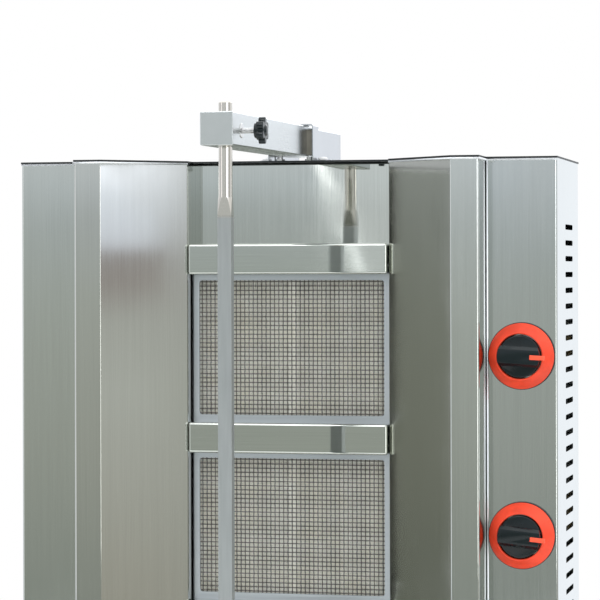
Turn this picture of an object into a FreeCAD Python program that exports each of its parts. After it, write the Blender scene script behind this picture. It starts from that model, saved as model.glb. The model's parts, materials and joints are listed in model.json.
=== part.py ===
import FreeCAD, Part
import math
import os

V = FreeCAD.Vector

# A counter-top gas doner kebab grill. X runs across, the front faces -Y, Z is up, all in millimetres.

# Sheet metal, gaps between pieces, and how far a cutter runs past what it cuts
sheet = 1.2
bend = 1.0
seam = 0.1
play = 0.3
running_gap = 0.06
fit_gap = 0.05
over = 1.0
past = 5.0
tiny = 0.01

# Casing
half_width = 259.0
roof_top = 820.0
roof_thick = 1.6
roof_overhang = 0.4
deck_top = 170.0
front_y = -256.0
rear_y = 268.0
ear_depth = 16.0
foot_height = 25.0
foot_radius = 20.0
foot_taper = 1.5
foot_x = 225.0
foot_ys = (-222.0, 234.0)

# Plan of the upright part, set out from the plane of the burner frames
burner_y = 145.0
column_y = burner_y - 31.6
wing_y = burner_y - 72.5
wing_outer_x = 192.8
wing_fold_x = 167.0
wing_rear_x = 97.85
wing_rear_y = burner_y - 13.6
wing_flange = 10.0
column_gap = 0.2
fascia_y = burner_y + 13.9
recess_y = burner_y + 2.0
fascia_half = 100.4
fascia_drop = 92.0
fascia_gap = 1.5
fold_depth = 12.0
upright_top = roof_top - roof_thick

# Vent slots in the column sides and in the rear panel
slot_count = 38
slot_pitch = 14.92
slot_height = 5.0
slot_length = 53.0
first_slot_z = roof_top - 64.4
slot_centre_y = burner_y + 52.0
rear_vent_rows = 12
rear_vent_pitch = 16.0
rear_vent_x = 90.0
rear_vent_half = 45.0
rear_vent_height = 5.0
first_rear_vent_z = roof_top - 70.0

# Burners
burner_count = 3
burner_pitch = 170.0
first_burner_z = roof_top - 178.2
frame_half_x = 97.4
frame_half_z = 78.0
frame_depth = 18.0
frame_lip = 2.0
frame_corner = 4.0
frame_edge = 1.5
window_half_x = 90.4
window_half_z = 64.3
window_corner = 3.0
pocket_half_x = 92.6
pocket_half_z = 66.6
tile_thick = 12.8
tile_gap = 0.4
tile_joint = 0.2
tile_edge = 1.0
mesh_thick = 1.2
mesh_columns = 20
mesh_rows = 14
mesh_wire = 1.5
box_half_x = 95.0
box_half_z = 72.0
box_depth = 45.0
box_corner = 3.0
box_rear_y = burner_y + frame_depth + box_depth
ear_half_x = 114.0
ear_half_z = 30.0
post_x = ear_half_x + 2.0
post_face = 18.0
post_leg = 12.0
post_thick = 2.0

# Deflector strips above, between and below the burners
strip_half_x = 96.6
strip_height = 28.9
strip_depth = 18.0
first_strip_top = roof_top - 79.3

# Gas train in the right column
knob_x = 226.0
knob_pitch = 165.0
first_knob_z = roof_top - 183.8
mixing_y = burner_y + 36.0
mixing_radius = 12.0
mixing_wall = 1.5
mixing_start = box_half_x - 6.0
mixing_length = 70.0
bell_length = 12.0
bell_flare = 4.0
injector_x = mixing_start + mixing_length + 6.0
injector_radius = 6.5
injector_length = 17.0
nozzle_radius = 2.5
nozzle_length = 5.0
jet_radius = 0.8
pipe_radius = 4.0
pipe_bore = 3.0
valve_half_x = 17.0
valve_half_z = 16.0
valve_corner = 3.0
valve_front = burner_y + 7.0
valve_rear = burner_y + 45.0
snout_radius = 9.0
snout_front = column_y + 14.0
plunger_bore = 7.0
plunger_bore_end = burner_y + 5.0
spindle_bore_end = burner_y + 34.0
stub_radius = 8.0
manifold_y = burner_y + 60.0
manifold_radius = 11.0
manifold_wall = 2.0
manifold_rise = 40.0
boss_radius = 9.0
boss_y = manifold_y - 13.0
inlet_z = 215.0
inlet_end_y = 290.0
inlet_radius = 10.48
inlet_thread = 14.8
inlet_relief = 9.6
inlet_shank = 9.8
inlet_bore = 7.5
inlet_start = inlet_end_y - 44.0
inlet_nut = 30.0
inlet_nut_thick = 6.0
inlet_collar = 15.0
inlet_collar_thick = 5.0
inlet_hole = 10.98
inlet_edge = 0.8

# Knobs, measured forward of the column's front face
bezel_radius = 30.4
bezel_height = 17.0
bezel_neck = 26.5
bezel_neck_height = 3.0
bezel_brim = 1.5
bezel_mouth = 20.3
bezel_lip = 1.2
bezel_rim = 3.5
bezel_wall = 3.0
knob_radius = 19.6
knob_base = 5.0
knob_disc = 16.5
knob_edge = 1.2
knob_hole = 7.0
grip_height = 25.0
grip_width = 18.5
grip_bevel = 3.0
knob_rest_turn = (3.0, 6.0, 3.0)
pointer_from = 10.5
pointer_to = 24.2
pointer_half = 2.1
pointer_base = 23.2
pointer_front = 25.8
pointer_edge = 0.6
spindle_radius = 4.0
spindle_front = grip_height - 6.0
spindle_rear_y = burner_y + 28.0
plunger_radius = 6.7
plunger_ys = (column_y + 18.0, column_y + 22.0)

# Spit and its drive
spit_y = burner_y - 240.5
spit_width = 12.0
spit_top = roof_top + 40.9
spit_round_z = roof_top - 41.5
spit_taper_z = roof_top - 56.2
spit_turn = 4.0
spit_bottom = 183.0
spit_chamfer = 0.8
neck_step = 0.5
travel = 75.0
disc_radius = 95.0
disc_thick = 3.0
hub_radius = 16.0
hub_foot = 4.0
hub_top_radius = 14.0
hub_height = 18.0
shaft_radius = 8.0
shaft_slot_half = shaft_radius + 2.5
socket_radius = 13.0
socket_top = 205.0
socket_low = socket_top - 25.0
socket_gap = 0.08
plate_low = 147.5
plate_thick = 3.0
plate_half_x = 90.4
plate_half_y = 50.0
plate_corner = 4.0
gearbox_low = 104.0
gearbox_half_x = 38.0
gearbox_half_y = 40.0
gearbox_corner = 6.0
shaft_low = gearbox_low + 8.0
motor_radius = 23.0
motor_neck = 3.0
motor_step = 4.0
motor_length = 60.0
motor_z = gearbox_low + 16.0
track_gap = 0.4
track_reach = 14.0
track_margin = 56.0

# Drip pan on the deck
pan_half_x = 165.0
pan_front = -248.0
pan_rear = 60.0
pan_high = deck_top + 22.0
pan_corner = 12.0
chimney_radius = socket_radius + 3.0
chimney_top = pan_high - 4.0
drain_y = -225.0
drain_radius = 8.0
drain_length = 20.0
drain_hole = 11.0

# Grease drawer
drawer_half_x = 176.0
drawer_low = 37.0
drawer_high = 74.0
drawer_back = 100.0
drawer_fold = 10.0
drawer_face_y = front_y - drawer_fold
face_margin = 7.0
face_low = drawer_low - 4.0
face_high = drawer_high + 5.0
drawer_hole_half = 180.0
drawer_hole_zs = (drawer_low - 3.5, drawer_high + 3.0)
handle_y = -286.0
handle_radius = 4.0
handle_half = 60.0
runner_x = drawer_half_x + 4.8
runner_reach = 12.8
runner_top = drawer_high + 1.8
runner_ys = (front_y + 4.0, drawer_back + 12.0)

# Motor switch and cord gland
switch_x = 218.0
switch_z = 120.0
switch_half_x = 10.5
switch_half_z = 14.5
switch_depth = 20.0
switch_rim = 2.0
well_half_x = 9.4
well_half_z = 13.4
well_depth = 12.0
rocker_half_x = 9.0
rocker_half_z = 12.0
rocker_ys = (-4.5, -3.0, 1.0, 6.0)
rocker_edge = 0.5
rocker_rest = 8.0
gland_x = -180.0
gland_z = 100.0
gland_thread = 10.0
gland_thread_ys = (rear_y - 14.0, rear_y + 1.0)
gland_bore = 3.6
gland_nut = 24.0
gland_nut_thick = 6.0
gland_lock_nut = 26.0
gland_lock_thick = 5.0
gland_dome = 11.0
gland_mouth = 8.0
gland_length = 20.0
gland_taper = 4.0

# Arm on the roof, laid out level and then leaned about its lower edge above the burner plane
arm_size = 29.0
arm_wall = 2.0
arm_corner = 1.3
arm_edge = 0.8
arm_gap = 4.2
arm_lean = math.degrees(math.atan(0.0078))
arm_front = -270.5
arm_rear = 47.0
spit_hole_gap = 0.35
pad_front = 6.0
pad_low = 1.0
pad_edge = 1.5
collar_length = 24.0
collar_half = 22.0
collar_wall = 1.0
collar_foot_x = 34.0
collar_foot_from = 14.5
rail_half = 21.8
rail_wall = 1.5
rail_top = 27.2
rail_foot_x = 36.0
lip_inner = 15.2
rail_from = collar_length + 0.5
rail_end = 123.0
legs_below = 12.0
foot_corner = 3.0
clamp_y = -240.5
clamp_z = 13.5
insert_shank = 4.0
insert_depth = 8.0
insert_flange = 6.4
insert_proud = 0.8
stud_radius = 2.5
stud_end = 31.0
star_back = 28.6
lobe_back = 30.2
star_front = 35.9
star_core = 8.25
star_reach = 8.05
star_lobe = 3.45
star_lobes = 6
star_edge = 0.75
hub_depth = 2.0
star_hub = 6.5
cap_radius = 5.2
cap_height = 1.7

# Screws
level_x = 14.5
level_y = 18.0
level_radius = 2.8
level_nut = 8.0
level_nut_thick = 2.0
head_radius = 4.8
head_height = 3.2
head_crown = (0.7, 0.94)
collar_screw = (27.4, 19.0)
rail_screw = (29.5, 116.0)
rear_screw_x = 251.0
rear_screw_zs = (182.0, 395.0, 605.0, 806.0)
side_screw_ys = (-246.0, 0.0, 255.0)
side_screw_z = 158.0
rear_top_xs = (-120.0, 0.0, 120.0)


def block(x, y, z):
    return Part.makeBox(x[1] - x[0], y[1] - y[0], z[1] - z[0], V(x[0], y[0], z[0]))


def around(middle, half):
    return middle - half, middle + half


def rod(radius, start, end):
    run = V(*end).sub(V(*start))
    return Part.makeCylinder(radius, run.Length, V(*start), run)


def fuse(*shapes):
    return shapes[0].fuse(list(shapes[1:])).removeSplitter()


def group(shapes):
    return Part.makeCompound(shapes)


def mirrored(shape):
    return shape.mirror(V(0, 0, 0), V(1, 0, 0))


def both_sides(shape):
    return group([shape, mirrored(shape)])


def is_along(edge, axis):
    return edge.Curve.TypeId == "Part::GeomLine" and abs(edge.Curve.Direction.dot(axis)) > 0.999


def rounded(shape, radius, chosen):
    return shape.makeFillet(radius, [edge for edge in shape.Edges if chosen(edge)])


# A round cutter along Y through a sheet
def drilled_y(radius, x, y, z):
    return rod(radius, (x, y - past, z), (x, y + past, z))


# A round solid from (radius, height) points, with heights along the axis from the origin given
def turned(outline, origin, axis):
    corners = [V(radius, 0, height) for radius, height in outline]
    solid = Part.Face(Part.makePolygon(corners + corners[:1])).revolve(V(0, 0, 0), V(0, 0, 1), 360)
    solid.Placement = FreeCAD.Placement(V(*origin), FreeCAD.Rotation(V(0, 0, 1), V(*axis)))
    return solid


def hexagon(across_flats, start, end):
    run = V(*end).sub(V(*start))
    corner = across_flats / math.sqrt(3)
    turn = [math.radians(60 * step) for step in range(7)]
    wire = Part.makePolygon([V(corner * math.cos(a), corner * math.sin(a), 0) for a in turn])
    solid = Part.Face(wire).extrude(V(0, 0, run.Length))
    solid.Placement = FreeCAD.Placement(V(*start), FreeCAD.Rotation(V(0, 0, 1), run))
    return solid


# The section of a bent sheet. The points follow its seen face, and the sheet lies on their left.
def bent_section(points, thick=sheet, inner=bend):
    points = [V(x, y, 0) for x, y in points]
    seen, hidden = [], []

    def heading(start, end):
        return end.sub(start).normalize()

    def left(way):
        return V(-way.y, way.x, 0)

    last_seen = points[0]
    last_hidden = points[0] + left(heading(points[0], points[1])) * thick
    first_seen, first_hidden = last_seen, last_hidden
    for before, corner, after in zip(points, points[1:], points[2:]):
        way_in, way_out = heading(before, corner), heading(corner, after)
        turn = math.atan2(way_in.x * way_out.y - way_in.y * way_out.x, way_in.dot(way_out))
        side = 1 if turn > 0 else -1
        radius = inner + thick if side > 0 else inner
        reach = radius * math.tan(abs(turn) / 2)
        centre = corner - way_in * reach + left(way_in) * (side * radius)
        middle = (left(way_in) + left(way_out)).normalize()
        for face, depth in ((seen, 0), (hidden, thick)):
            r = side * (radius - side * depth)
            start = centre - left(way_in) * r
            end = centre - left(way_out) * r
            last = last_seen if face is seen else last_hidden
            face.append(Part.LineSegment(last, start).toShape())
            face.append(Part.Arc(start, centre - middle * r, end).toShape())
            if face is seen:
                last_seen = end
            else:
                last_hidden = end
    end_seen = points[-1]
    end_hidden = end_seen + left(heading(points[-2], points[-1])) * thick
    seen.append(Part.LineSegment(last_seen, end_seen).toShape())
    hidden.append(Part.LineSegment(last_hidden, end_hidden).toShape())
    caps = [
        Part.LineSegment(first_seen, first_hidden).toShape(),
        Part.LineSegment(end_seen, end_hidden).toShape(),
    ]
    return Part.Face(Part.Wire(Part.__sortEdges__(seen + hidden + caps)))


def upright(section, low, high):
    section.translate(V(0, 0, low))
    return section.extrude(V(0, 0, high - low))


# A section drawn in (x, z), drawn out along Y
def along_y(section, low, high):
    section.rotate(V(0, 0, 0), V(1, 0, 0), 90)
    section.translate(V(0, low, 0))
    return section.extrude(V(0, high - low, 0))


# A section drawn in (y, z), drawn out along X
def along_x(section, low, high):
    section.rotate(V(0, 0, 0), V(1, 1, 1), 120)
    section.translate(V(low, 0, 0))
    return section.extrude(V(high - low, 0, 0))


# A shallow tray whose face looks to the front, with four edges bent back and rounded corners
def tray(half_x, low, high, face_y, depth, corner=2.4):
    shell = block((-half_x, half_x), (face_y, face_y + depth), (low, high))
    shell = rounded(shell, corner, lambda edge: is_along(edge, V(0, 1, 0)))
    shell = rounded(shell, bend + sheet, lambda edge: edge.BoundBox.YMax < face_y + tiny)
    inner = half_x - sheet
    hollow = block((-inner, inner), (face_y + sheet, face_y + depth), (low + sheet, high - sheet))
    return shell.cut(rounded(hollow, corner - sheet, lambda edge: is_along(edge, V(0, 1, 0))))


def burner_zs():
    return [first_burner_z - burner_pitch * k for k in range(burner_count)]


def knob_zs():
    return [first_knob_z - knob_pitch * k for k in range(burner_count)]


# Base

def base_pan():
    wall = (foot_height, deck_top - sheet)
    back = front_y + sheet
    floor = block((-half_width, half_width), (back, rear_y), (foot_height, foot_height + sheet))
    side = block((half_width - sheet, half_width), (back, rear_y), wall)
    rear = block((-half_width, half_width), (rear_y - sheet, rear_y), wall)
    pan = fuse(floor, side, mirrored(side), rear)
    return pan.cut(drilled_y(gland_thread, gland_x, rear_y, gland_z))


def base_front():
    height = (foot_height, deck_top - sheet)
    face = block((-half_width, half_width), (front_y, front_y + sheet), height)
    inset = half_width - sheet - seam
    ear_height = (foot_height + 2 * sheet, deck_top - 3 * sheet)
    ear = block((inset - sheet, inset), (front_y, front_y + ear_depth), ear_height)
    panel = fuse(face, ear, mirrored(ear))
    through = (front_y - over, front_y + sheet + over)
    panel = panel.cut(block((-drawer_hole_half, drawer_hole_half), through, drawer_hole_zs))
    across, up = around(switch_x, switch_half_x + play), around(switch_z, switch_half_z + play)
    return panel.cut(block(across, through, up))


# An upright solid over the whole travel of a round thing on the spit's axis
def stadium(radius, low, high):
    solid = block((-radius, radius), (spit_y, spit_y + travel), (low, high))
    for y in (spit_y, spit_y + travel):
        solid = solid.fuse(rod(radius, (0, y, low), (0, y, high)))
    return solid.removeSplitter()


def base_deck():
    plate = block((-half_width, half_width), (front_y, rear_y), (deck_top - sheet, deck_top))
    slot = stadium(shaft_slot_half, deck_top - past, deck_top + past)
    drain = rod(drain_hole, (0, drain_y, deck_top - past), (0, drain_y, deck_top + past))
    return plate.cut(slot).cut(drain)


def rubber_feet():
    outline = [
        (0, 0), (foot_radius - 2 * foot_taper, 0), (foot_radius - foot_taper, foot_taper),
        (foot_radius, foot_height), (0, foot_height),
    ]
    return group([turned(outline, (x, y, 0), (0, 0, 1)) for x in (-foot_x, foot_x) for y in foot_ys])


# Casing

def rear_panel():
    half = half_width - sheet - seam
    panel = block((-half, half), (rear_y - sheet, rear_y), (deck_top, upright_top))
    for row in range(rear_vent_rows):
        height = around(first_rear_vent_z - rear_vent_pitch * row, rear_vent_height / 2)
        for x in (-rear_vent_x, rear_vent_x):
            panel = panel.cut(block(around(x, rear_vent_half), around(rear_y, past), height))
    return panel.cut(drilled_y(inlet_hole, knob_x, rear_y, inlet_z))


def plan_outline(grow):
    half = [
        (0, recess_y), (wing_rear_x, recess_y), (wing_rear_x, wing_rear_y), (wing_fold_x, wing_y),
        (wing_outer_x, wing_y), (wing_outer_x, column_y), (half_width, column_y), (half_width, rear_y),
    ]
    right = [V(x, y, 0) for x, y in half[1:]]
    left = [V(-x, y, 0) for x, y in reversed(half[1:])]
    wire = Part.makePolygon(right + left + right[:1])
    return wire.makeOffset2D(grow, 2)


def roof_panel():
    face = Part.Face(plan_outline(roof_overhang))
    return upright(face, upright_top, roof_top)


def right_column():
    inner = wing_outer_x + column_gap
    rear = rear_y - sheet - seam
    outline = [
        (inner, column_y + fold_depth), (inner, column_y), (half_width, column_y),
        (half_width, rear), (half_width - fold_depth, rear),
    ]
    return upright(bent_section(outline), deck_top, upright_top)


def vent_slots():
    end = slot_height / 2
    reach = slot_length / 2 - end
    low_x, high_x = around(half_width, past)
    slots = []
    for k in range(slot_count):
        z = first_slot_z - slot_pitch * k
        slot = block((low_x, high_x), around(slot_centre_y, reach), around(z, end))
        for y in around(slot_centre_y, reach):
            slot = slot.fuse(rod(end, (low_x, y, z), (high_x, y, z)))
        slots.append(slot)
    return group(slots)


def knob_holes():
    return group([drilled_y(knob_hole, knob_x, column_y, z) for z in knob_zs()])


def right_wing():
    outline = [
        (wing_rear_x, wing_rear_y + wing_flange), (wing_rear_x, wing_rear_y), (wing_fold_x, wing_y),
        (wing_outer_x, wing_y), (wing_outer_x, column_y + fold_depth),
    ]
    return upright(bent_section(outline), deck_top, upright_top)


# A panel above the burners and a lower one between them and the deck
def fascia_panels():
    lower_top = burner_zs()[-1] - frame_half_z - fascia_gap
    upper = tray(fascia_half, roof_top - fascia_drop, upright_top, fascia_y, fold_depth)
    return group([upper, tray(fascia_half, deck_top, lower_top, fascia_y, fold_depth)])


def burner_posts():
    rear = box_rear_y - sheet - seam
    outline = [(post_x, rear - post_leg), (post_x, rear), (post_x - post_face, rear)]
    return both_sides(upright(bent_section(outline, post_thick, 1.5 * bend), deck_top, upright_top))


def deflector_strips():
    strips = []
    for k in range(burner_count + 1):
        top = first_strip_top - burner_pitch * k
        strips.append(tray(strip_half_x, top - strip_height, top, burner_y - strip_depth, strip_depth))
    return group(strips)


# Burners

def burner_frame(z):
    rear = burner_y + frame_depth
    frame = block((-frame_half_x, frame_half_x), (burner_y, rear), around(z, frame_half_z))
    frame = rounded(frame, frame_corner, lambda edge: is_along(edge, V(0, 1, 0)))
    frame = rounded(frame, frame_edge, lambda edge: edge.BoundBox.YMax < burner_y + tiny)
    window = block((-window_half_x, window_half_x), (burner_y - over, rear), around(z, window_half_z))
    window = rounded(window, window_corner, lambda edge: is_along(edge, V(0, 1, 0)))
    pocket = block((-pocket_half_x, pocket_half_x), (burner_y + frame_lip, rear), around(z, pocket_half_z))
    return frame.cut(window).cut(pocket)


# The wire mesh as one flat net with a square hole between each pair of wires. A hole's outline
# runs the other way round from the net's own.
def burner_mesh(z):
    half_x, half_z = pocket_half_x - play, pocket_half_z - play
    pitch_x, pitch_z = 2 * half_x / mesh_columns, 2 * half_z / mesh_rows
    edge = mesh_wire / 2

    def square(x0, x1, z0, z1):
        return Part.makePolygon([V(x0, z0, 0), V(x1, z0, 0), V(x1, z1, 0), V(x0, z1, 0), V(x0, z0, 0)])

    wires = [square(-half_x, half_x, *around(z, half_z))]
    for column in range(mesh_columns):
        for row in range(mesh_rows):
            x, low = -half_x + pitch_x * column, z - half_z + pitch_z * row
            wires.append(square(x + pitch_x - edge, x + edge, low + edge, low + pitch_z - edge))
    front = burner_y + frame_lip + seam
    return along_y(Part.Face(wires), front, front + mesh_thick)


def ceramic_tiles():
    front = burner_y + frame_depth - seam - tile_thick
    across = (tile_joint, pocket_half_x - tile_gap)
    tiles = []
    for z in burner_zs():
        tile = block(across, (front, front + tile_thick), around(z, pocket_half_z - tile_gap))
        tile = rounded(tile, tile_edge, lambda edge: edge.BoundBox.YMax < front + tiny)
        tiles += [tile, mirrored(tile)]
    return group(tiles)


def burner_boxes():
    front, rear = burner_y + frame_depth, box_rear_y
    inner = box_half_x - sheet
    boxes = []
    for z, axis_z in zip(burner_zs(), knob_zs()):
        box = block((-box_half_x, box_half_x), (front, rear), around(z, box_half_z))
        box = rounded(box, box_corner, lambda edge: is_along(edge, V(0, 1, 0)))
        inside = block((-inner, inner), (front - over, rear - sheet), around(z, box_half_z - sheet))
        ears = block((-ear_half_x, ear_half_x), (rear - sheet, rear), around(z, ear_half_z))
        ends = [(x, mixing_y, axis_z) for x in around(box_half_x, past)]
        boxes.append(fuse(box.cut(inside), ears).cut(rod(mixing_radius + fit_gap, *ends)))
    return group(boxes)


def mixing_tubes():
    mouth, end = mixing_radius + bell_flare, mixing_length + bell_length
    outline = [
        (mixing_radius - mixing_wall, 0), (mixing_radius, 0), (mixing_radius, mixing_length), (mouth, end),
        (mouth - mixing_wall, end), (mixing_radius - mixing_wall, mixing_length),
    ]
    return group([turned(outline, (mixing_start, mixing_y, z), (1, 0, 0)) for z in knob_zs()])


# Each injector stands in its tube's bell mouth, on the end of its gas pipe
def gas_injectors():
    outline = [
        (jet_radius, 0), (nozzle_radius, 0), (nozzle_radius, nozzle_length), (injector_radius, nozzle_length),
        (injector_radius, injector_length), (jet_radius, injector_length),
    ]
    return group([turned(outline, (injector_x, mixing_y, z), (1, 0, 0)) for z in knob_zs()])


def gas_pipes():
    pipes = []
    for z in knob_zs():
        ends = (injector_x + injector_length, mixing_y, z), (knob_x - valve_half_x, mixing_y, z)
        pipes.append(rod(pipe_radius, *ends).cut(rod(pipe_bore, *ends)))
    return group(pipes)


def gas_valves():
    valves = []
    for z in knob_zs():
        body = block(around(knob_x, valve_half_x), (valve_front, valve_rear), around(z, valve_half_z))
        body = rounded(body, valve_corner, lambda edge: is_along(edge, V(0, 1, 0)))
        mouth = (knob_x, snout_front - over, z)
        snout = rod(snout_radius, (knob_x, snout_front, z), (knob_x, valve_front, z))
        collar_bore = rod(plunger_bore, mouth, (knob_x, plunger_bore_end, z))
        bore = rod(spindle_radius + running_gap, mouth, (knob_x, spindle_bore_end, z))
        stub = rod(stub_radius, (knob_x, valve_rear, z), (knob_x, boss_y, z))
        valves.append(fuse(body, snout, stub).cut(collar_bore).cut(bore))
    return group(valves)


def gas_manifold():
    def pipes(radius, top):
        elbow = (knob_x, manifold_y, inlet_z)
        upright_pipe = rod(radius, elbow, (knob_x, manifold_y, top))
        rear_pipe = rod(radius, elbow, (knob_x, inlet_start, inlet_z))
        return fuse(upright_pipe, rear_pipe, Part.makeSphere(radius, V(*elbow)))

    top = knob_zs()[0] + manifold_rise
    solid = pipes(manifold_radius, top)
    for z in knob_zs():
        solid = solid.fuse(rod(boss_radius, (knob_x, boss_y, z), (knob_x, manifold_y, z)))
    return solid.cut(pipes(manifold_radius - manifold_wall, top - 1.5 * manifold_wall)).removeSplitter()


# A nipple held in the rear panel by a nut and a collar. Its thread ends in a relief beside the nut.
def gas_inlet():
    def point(y):
        return (knob_x, y, inlet_z)

    thread_y, inside = inlet_end_y - inlet_thread, rear_y - sheet
    thread = rod(inlet_radius, point(thread_y), point(inlet_end_y))
    thread = rounded(thread, inlet_edge, lambda edge: edge.BoundBox.YMin > inlet_end_y - tiny)
    relief = rod(inlet_relief, point(rear_y), point(thread_y))
    shank = rod(inlet_shank, point(inlet_start), point(rear_y))
    nut = hexagon(inlet_nut, point(rear_y), point(rear_y + inlet_nut_thick))
    collar = rod(inlet_collar, point(inside - inlet_collar_thick), point(inside))
    bore = rod(inlet_bore, point(inlet_start - over), point(inlet_end_y + over))
    return fuse(thread, relief, shank, nut, collar).cut(bore)


# Knobs and what they turn

def knob_bezels():
    brim = bezel_neck_height + bezel_brim
    outline = [
        (bezel_neck, 0), (bezel_neck, bezel_neck_height), (bezel_radius, bezel_neck_height),
        (bezel_radius, brim), (bezel_mouth + bezel_lip, bezel_height), (bezel_mouth, bezel_height),
        (bezel_mouth, bezel_height - bezel_rim), (bezel_neck - bezel_wall, brim),
        (bezel_neck - bezel_wall, 0),
    ]
    return group([turned(outline, (knob_x, column_y, z), (0, -1, 0)) for z in knob_zs()])


def valve_spindle(z):
    return rod(spindle_radius, (knob_x, column_y - spindle_front, z), (knob_x, spindle_rear_y, z))


# The ring in the valve's snout that goes in with the spindle but doesn't turn
def valve_plunger(z):
    ends = [(knob_x, y, z) for y in plunger_ys]
    return rod(plunger_radius, *ends).cut(rod(spindle_radius + running_gap, *ends))


# Knob pieces are drawn pointing to +X with the axis on the origin, facing -Y, then set in place
def knob_place(shape, z, turn):
    shape.rotate(V(0, 0, 0), V(0, 1, 0), turn)
    shape.translate(V(knob_x, column_y, z))
    return shape


def knob(z, turn):
    skirt = rod(knob_radius, (0, -knob_base, 0), (0, -knob_disc, 0))
    skirt = rounded(skirt, knob_edge, lambda edge: edge.BoundBox.YMax < -knob_disc + tiny)
    grip = block((-knob_radius, knob_radius), (-grip_height, -knob_base), around(0, grip_width / 2))
    front_edges = [e for e in grip.Edges if is_along(e, V(1, 0, 0)) and e.BoundBox.YMax < -knob_disc]
    grip = grip.makeChamfer(grip_bevel, front_edges)
    grip = grip.common(rod(knob_radius, (0, 0, 0), (0, -grip_height - over, 0)))
    groove_depth = (-grip_height - over, -pointer_base)
    groove = block((pointer_from, knob_radius + over), groove_depth, (-pointer_half, pointer_half))
    bore = rod(spindle_radius + running_gap, (0, 0, 0), (0, -spindle_front - over, 0))
    shape = fuse(skirt, grip).cut(groove).cut(bore)
    return knob_place(shape, z, turn)


def pointer(z, turn):
    bar = block((pointer_from, pointer_to), (-pointer_front, -pointer_base), (-pointer_half, pointer_half))
    bar = rounded(bar, pointer_edge, lambda edge: edge.BoundBox.YMax < -pointer_front + tiny)
    return knob_place(bar, z, turn)


# Spit and drive

def spit_bar():
    half = spit_width / 2
    corner = half * math.sqrt(2)
    square = block((-half, half), (-half, half), (spit_bottom, spit_taper_z))
    neck = block((-half, half), (-half, half), (spit_taper_z, spit_round_z))
    cone = Part.makeCone(corner, half + neck_step, spit_round_z - spit_taper_z, V(0, 0, spit_taper_z))
    neck = neck.common(cone)
    top = rod(half, (0, 0, spit_round_z), (0, 0, spit_top))
    end_edges = [edge for edge in top.Edges if edge.BoundBox.ZMin > spit_top - tiny]
    top = top.makeChamfer(spit_chamfer, end_edges)
    bar = fuse(square, neck, top)
    bar.rotate(V(0, 0, 0), V(0, 0, 1), spit_turn)
    bar.translate(V(0, spit_y, 0))
    return bar


def meat_disc():
    low = socket_top + play
    under, top = low + hub_foot, low + hub_foot + disc_thick
    outline = [
        (0, low), (hub_radius, low), (hub_radius, under), (disc_radius, under), (disc_radius, top),
        (hub_radius, top), (hub_top_radius, low + hub_height), (0, low + hub_height),
    ]
    disc = turned(outline, (0, 0, 0), (0, 0, 1))
    half = spit_width / 2
    disc = disc.cut(block((-half, half), (-half, half), (low - over, low + hub_height + over)))
    disc.rotate(V(0, 0, 0), V(0, 0, 1), spit_turn)
    disc.translate(V(0, spit_y, 0))
    return disc


def drive_shaft():
    shaft = rod(shaft_radius, (0, 0, shaft_low), (0, 0, socket_low))
    socket = rod(socket_radius, (0, 0, socket_low), (0, 0, socket_top))
    half = spit_width / 2 + socket_gap
    hole = block((-half, half), (-half, half), (spit_bottom - seam, socket_top + over))
    shape = fuse(shaft, socket).cut(hole)
    shape.rotate(V(0, 0, 0), V(0, 0, 1), spit_turn)
    shape.translate(V(0, spit_y, 0))
    return shape


def carriage_plate():
    high = plate_low + plate_thick
    plate = block((-plate_half_x, plate_half_x), around(spit_y, plate_half_y), (plate_low, high))
    plate = rounded(plate, plate_corner, lambda edge: is_along(edge, V(0, 0, 1)))
    return plate.cut(rod(shaft_radius + over, (0, spit_y, plate_low - over), (0, spit_y, high + over)))


def gearbox():
    across = (-gearbox_half_x, gearbox_half_x)
    case = block(across, around(spit_y, gearbox_half_y), (gearbox_low, plate_low))
    case = rounded(case, gearbox_corner, lambda edge: is_along(edge, V(0, 0, 1)))
    bore = rod(shaft_radius + running_gap, (0, spit_y, shaft_low - seam), (0, spit_y, plate_low + over))
    return case.cut(bore)


def motor_can():
    neck = motor_radius - motor_neck
    outline = [
        (0, 0), (neck, 0), (neck, motor_step), (motor_radius, motor_step),
        (motor_radius, motor_length - motor_step), (neck, motor_length), (0, motor_length),
    ]
    return turned(outline, (gearbox_half_x, spit_y, motor_z), (1, 0, 0))


def carriage_rails():
    web_x = plate_half_x + track_gap
    ends = (spit_y - track_margin, spit_y + travel + track_margin)
    web = block((web_x, web_x + sheet), ends, (plate_low - play - sheet, deck_top - sheet))
    legs = []
    for low in (plate_low - play - sheet, plate_low + plate_thick + play, deck_top - 2 * sheet):
        legs.append(block((web_x - track_reach, web_x + sheet), ends, (low, low + sheet)))
    return both_sides(fuse(web, *legs))


# A tray round the spit's foot, with a raised slot for the shaft and a drain to the drawer
def drip_pan():
    upper = block((-pan_half_x, pan_half_x), (pan_front, pan_rear), (deck_top, pan_high))
    upper = rounded(upper, pan_corner, lambda edge: is_along(edge, V(0, 0, 1)))
    inner, along = pan_half_x - sheet, (pan_front + sheet, pan_rear - sheet)
    inside = block((-inner, inner), along, (deck_top + sheet, pan_high + over))
    inside = rounded(inside, pan_corner - sheet, lambda edge: is_along(edge, V(0, 0, 1)))
    chimney = stadium(chimney_radius + sheet, deck_top, chimney_top)
    pan = fuse(upper.cut(inside), chimney).cut(stadium(chimney_radius, deck_top - over, pan_high + over))
    drain_low = deck_top - drain_length
    drain = rod(drain_radius, (0, drain_y, drain_low), (0, drain_y, deck_top + sheet))
    hole = rod(drain_radius - sheet, (0, drain_y, drain_low - over), (0, drain_y, deck_top + past))
    return fuse(pan, drain).cut(hole)


# Grease drawer

def drawer_box():
    half, front = drawer_half_x, drawer_face_y + sheet
    outer = block((-half, half), (front, drawer_back), (drawer_low, drawer_high))
    across, along = (-half + sheet, half - sheet), (front + sheet, drawer_back - sheet)
    return outer.cut(block(across, along, (drawer_low + sheet, drawer_high + over)))


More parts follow.
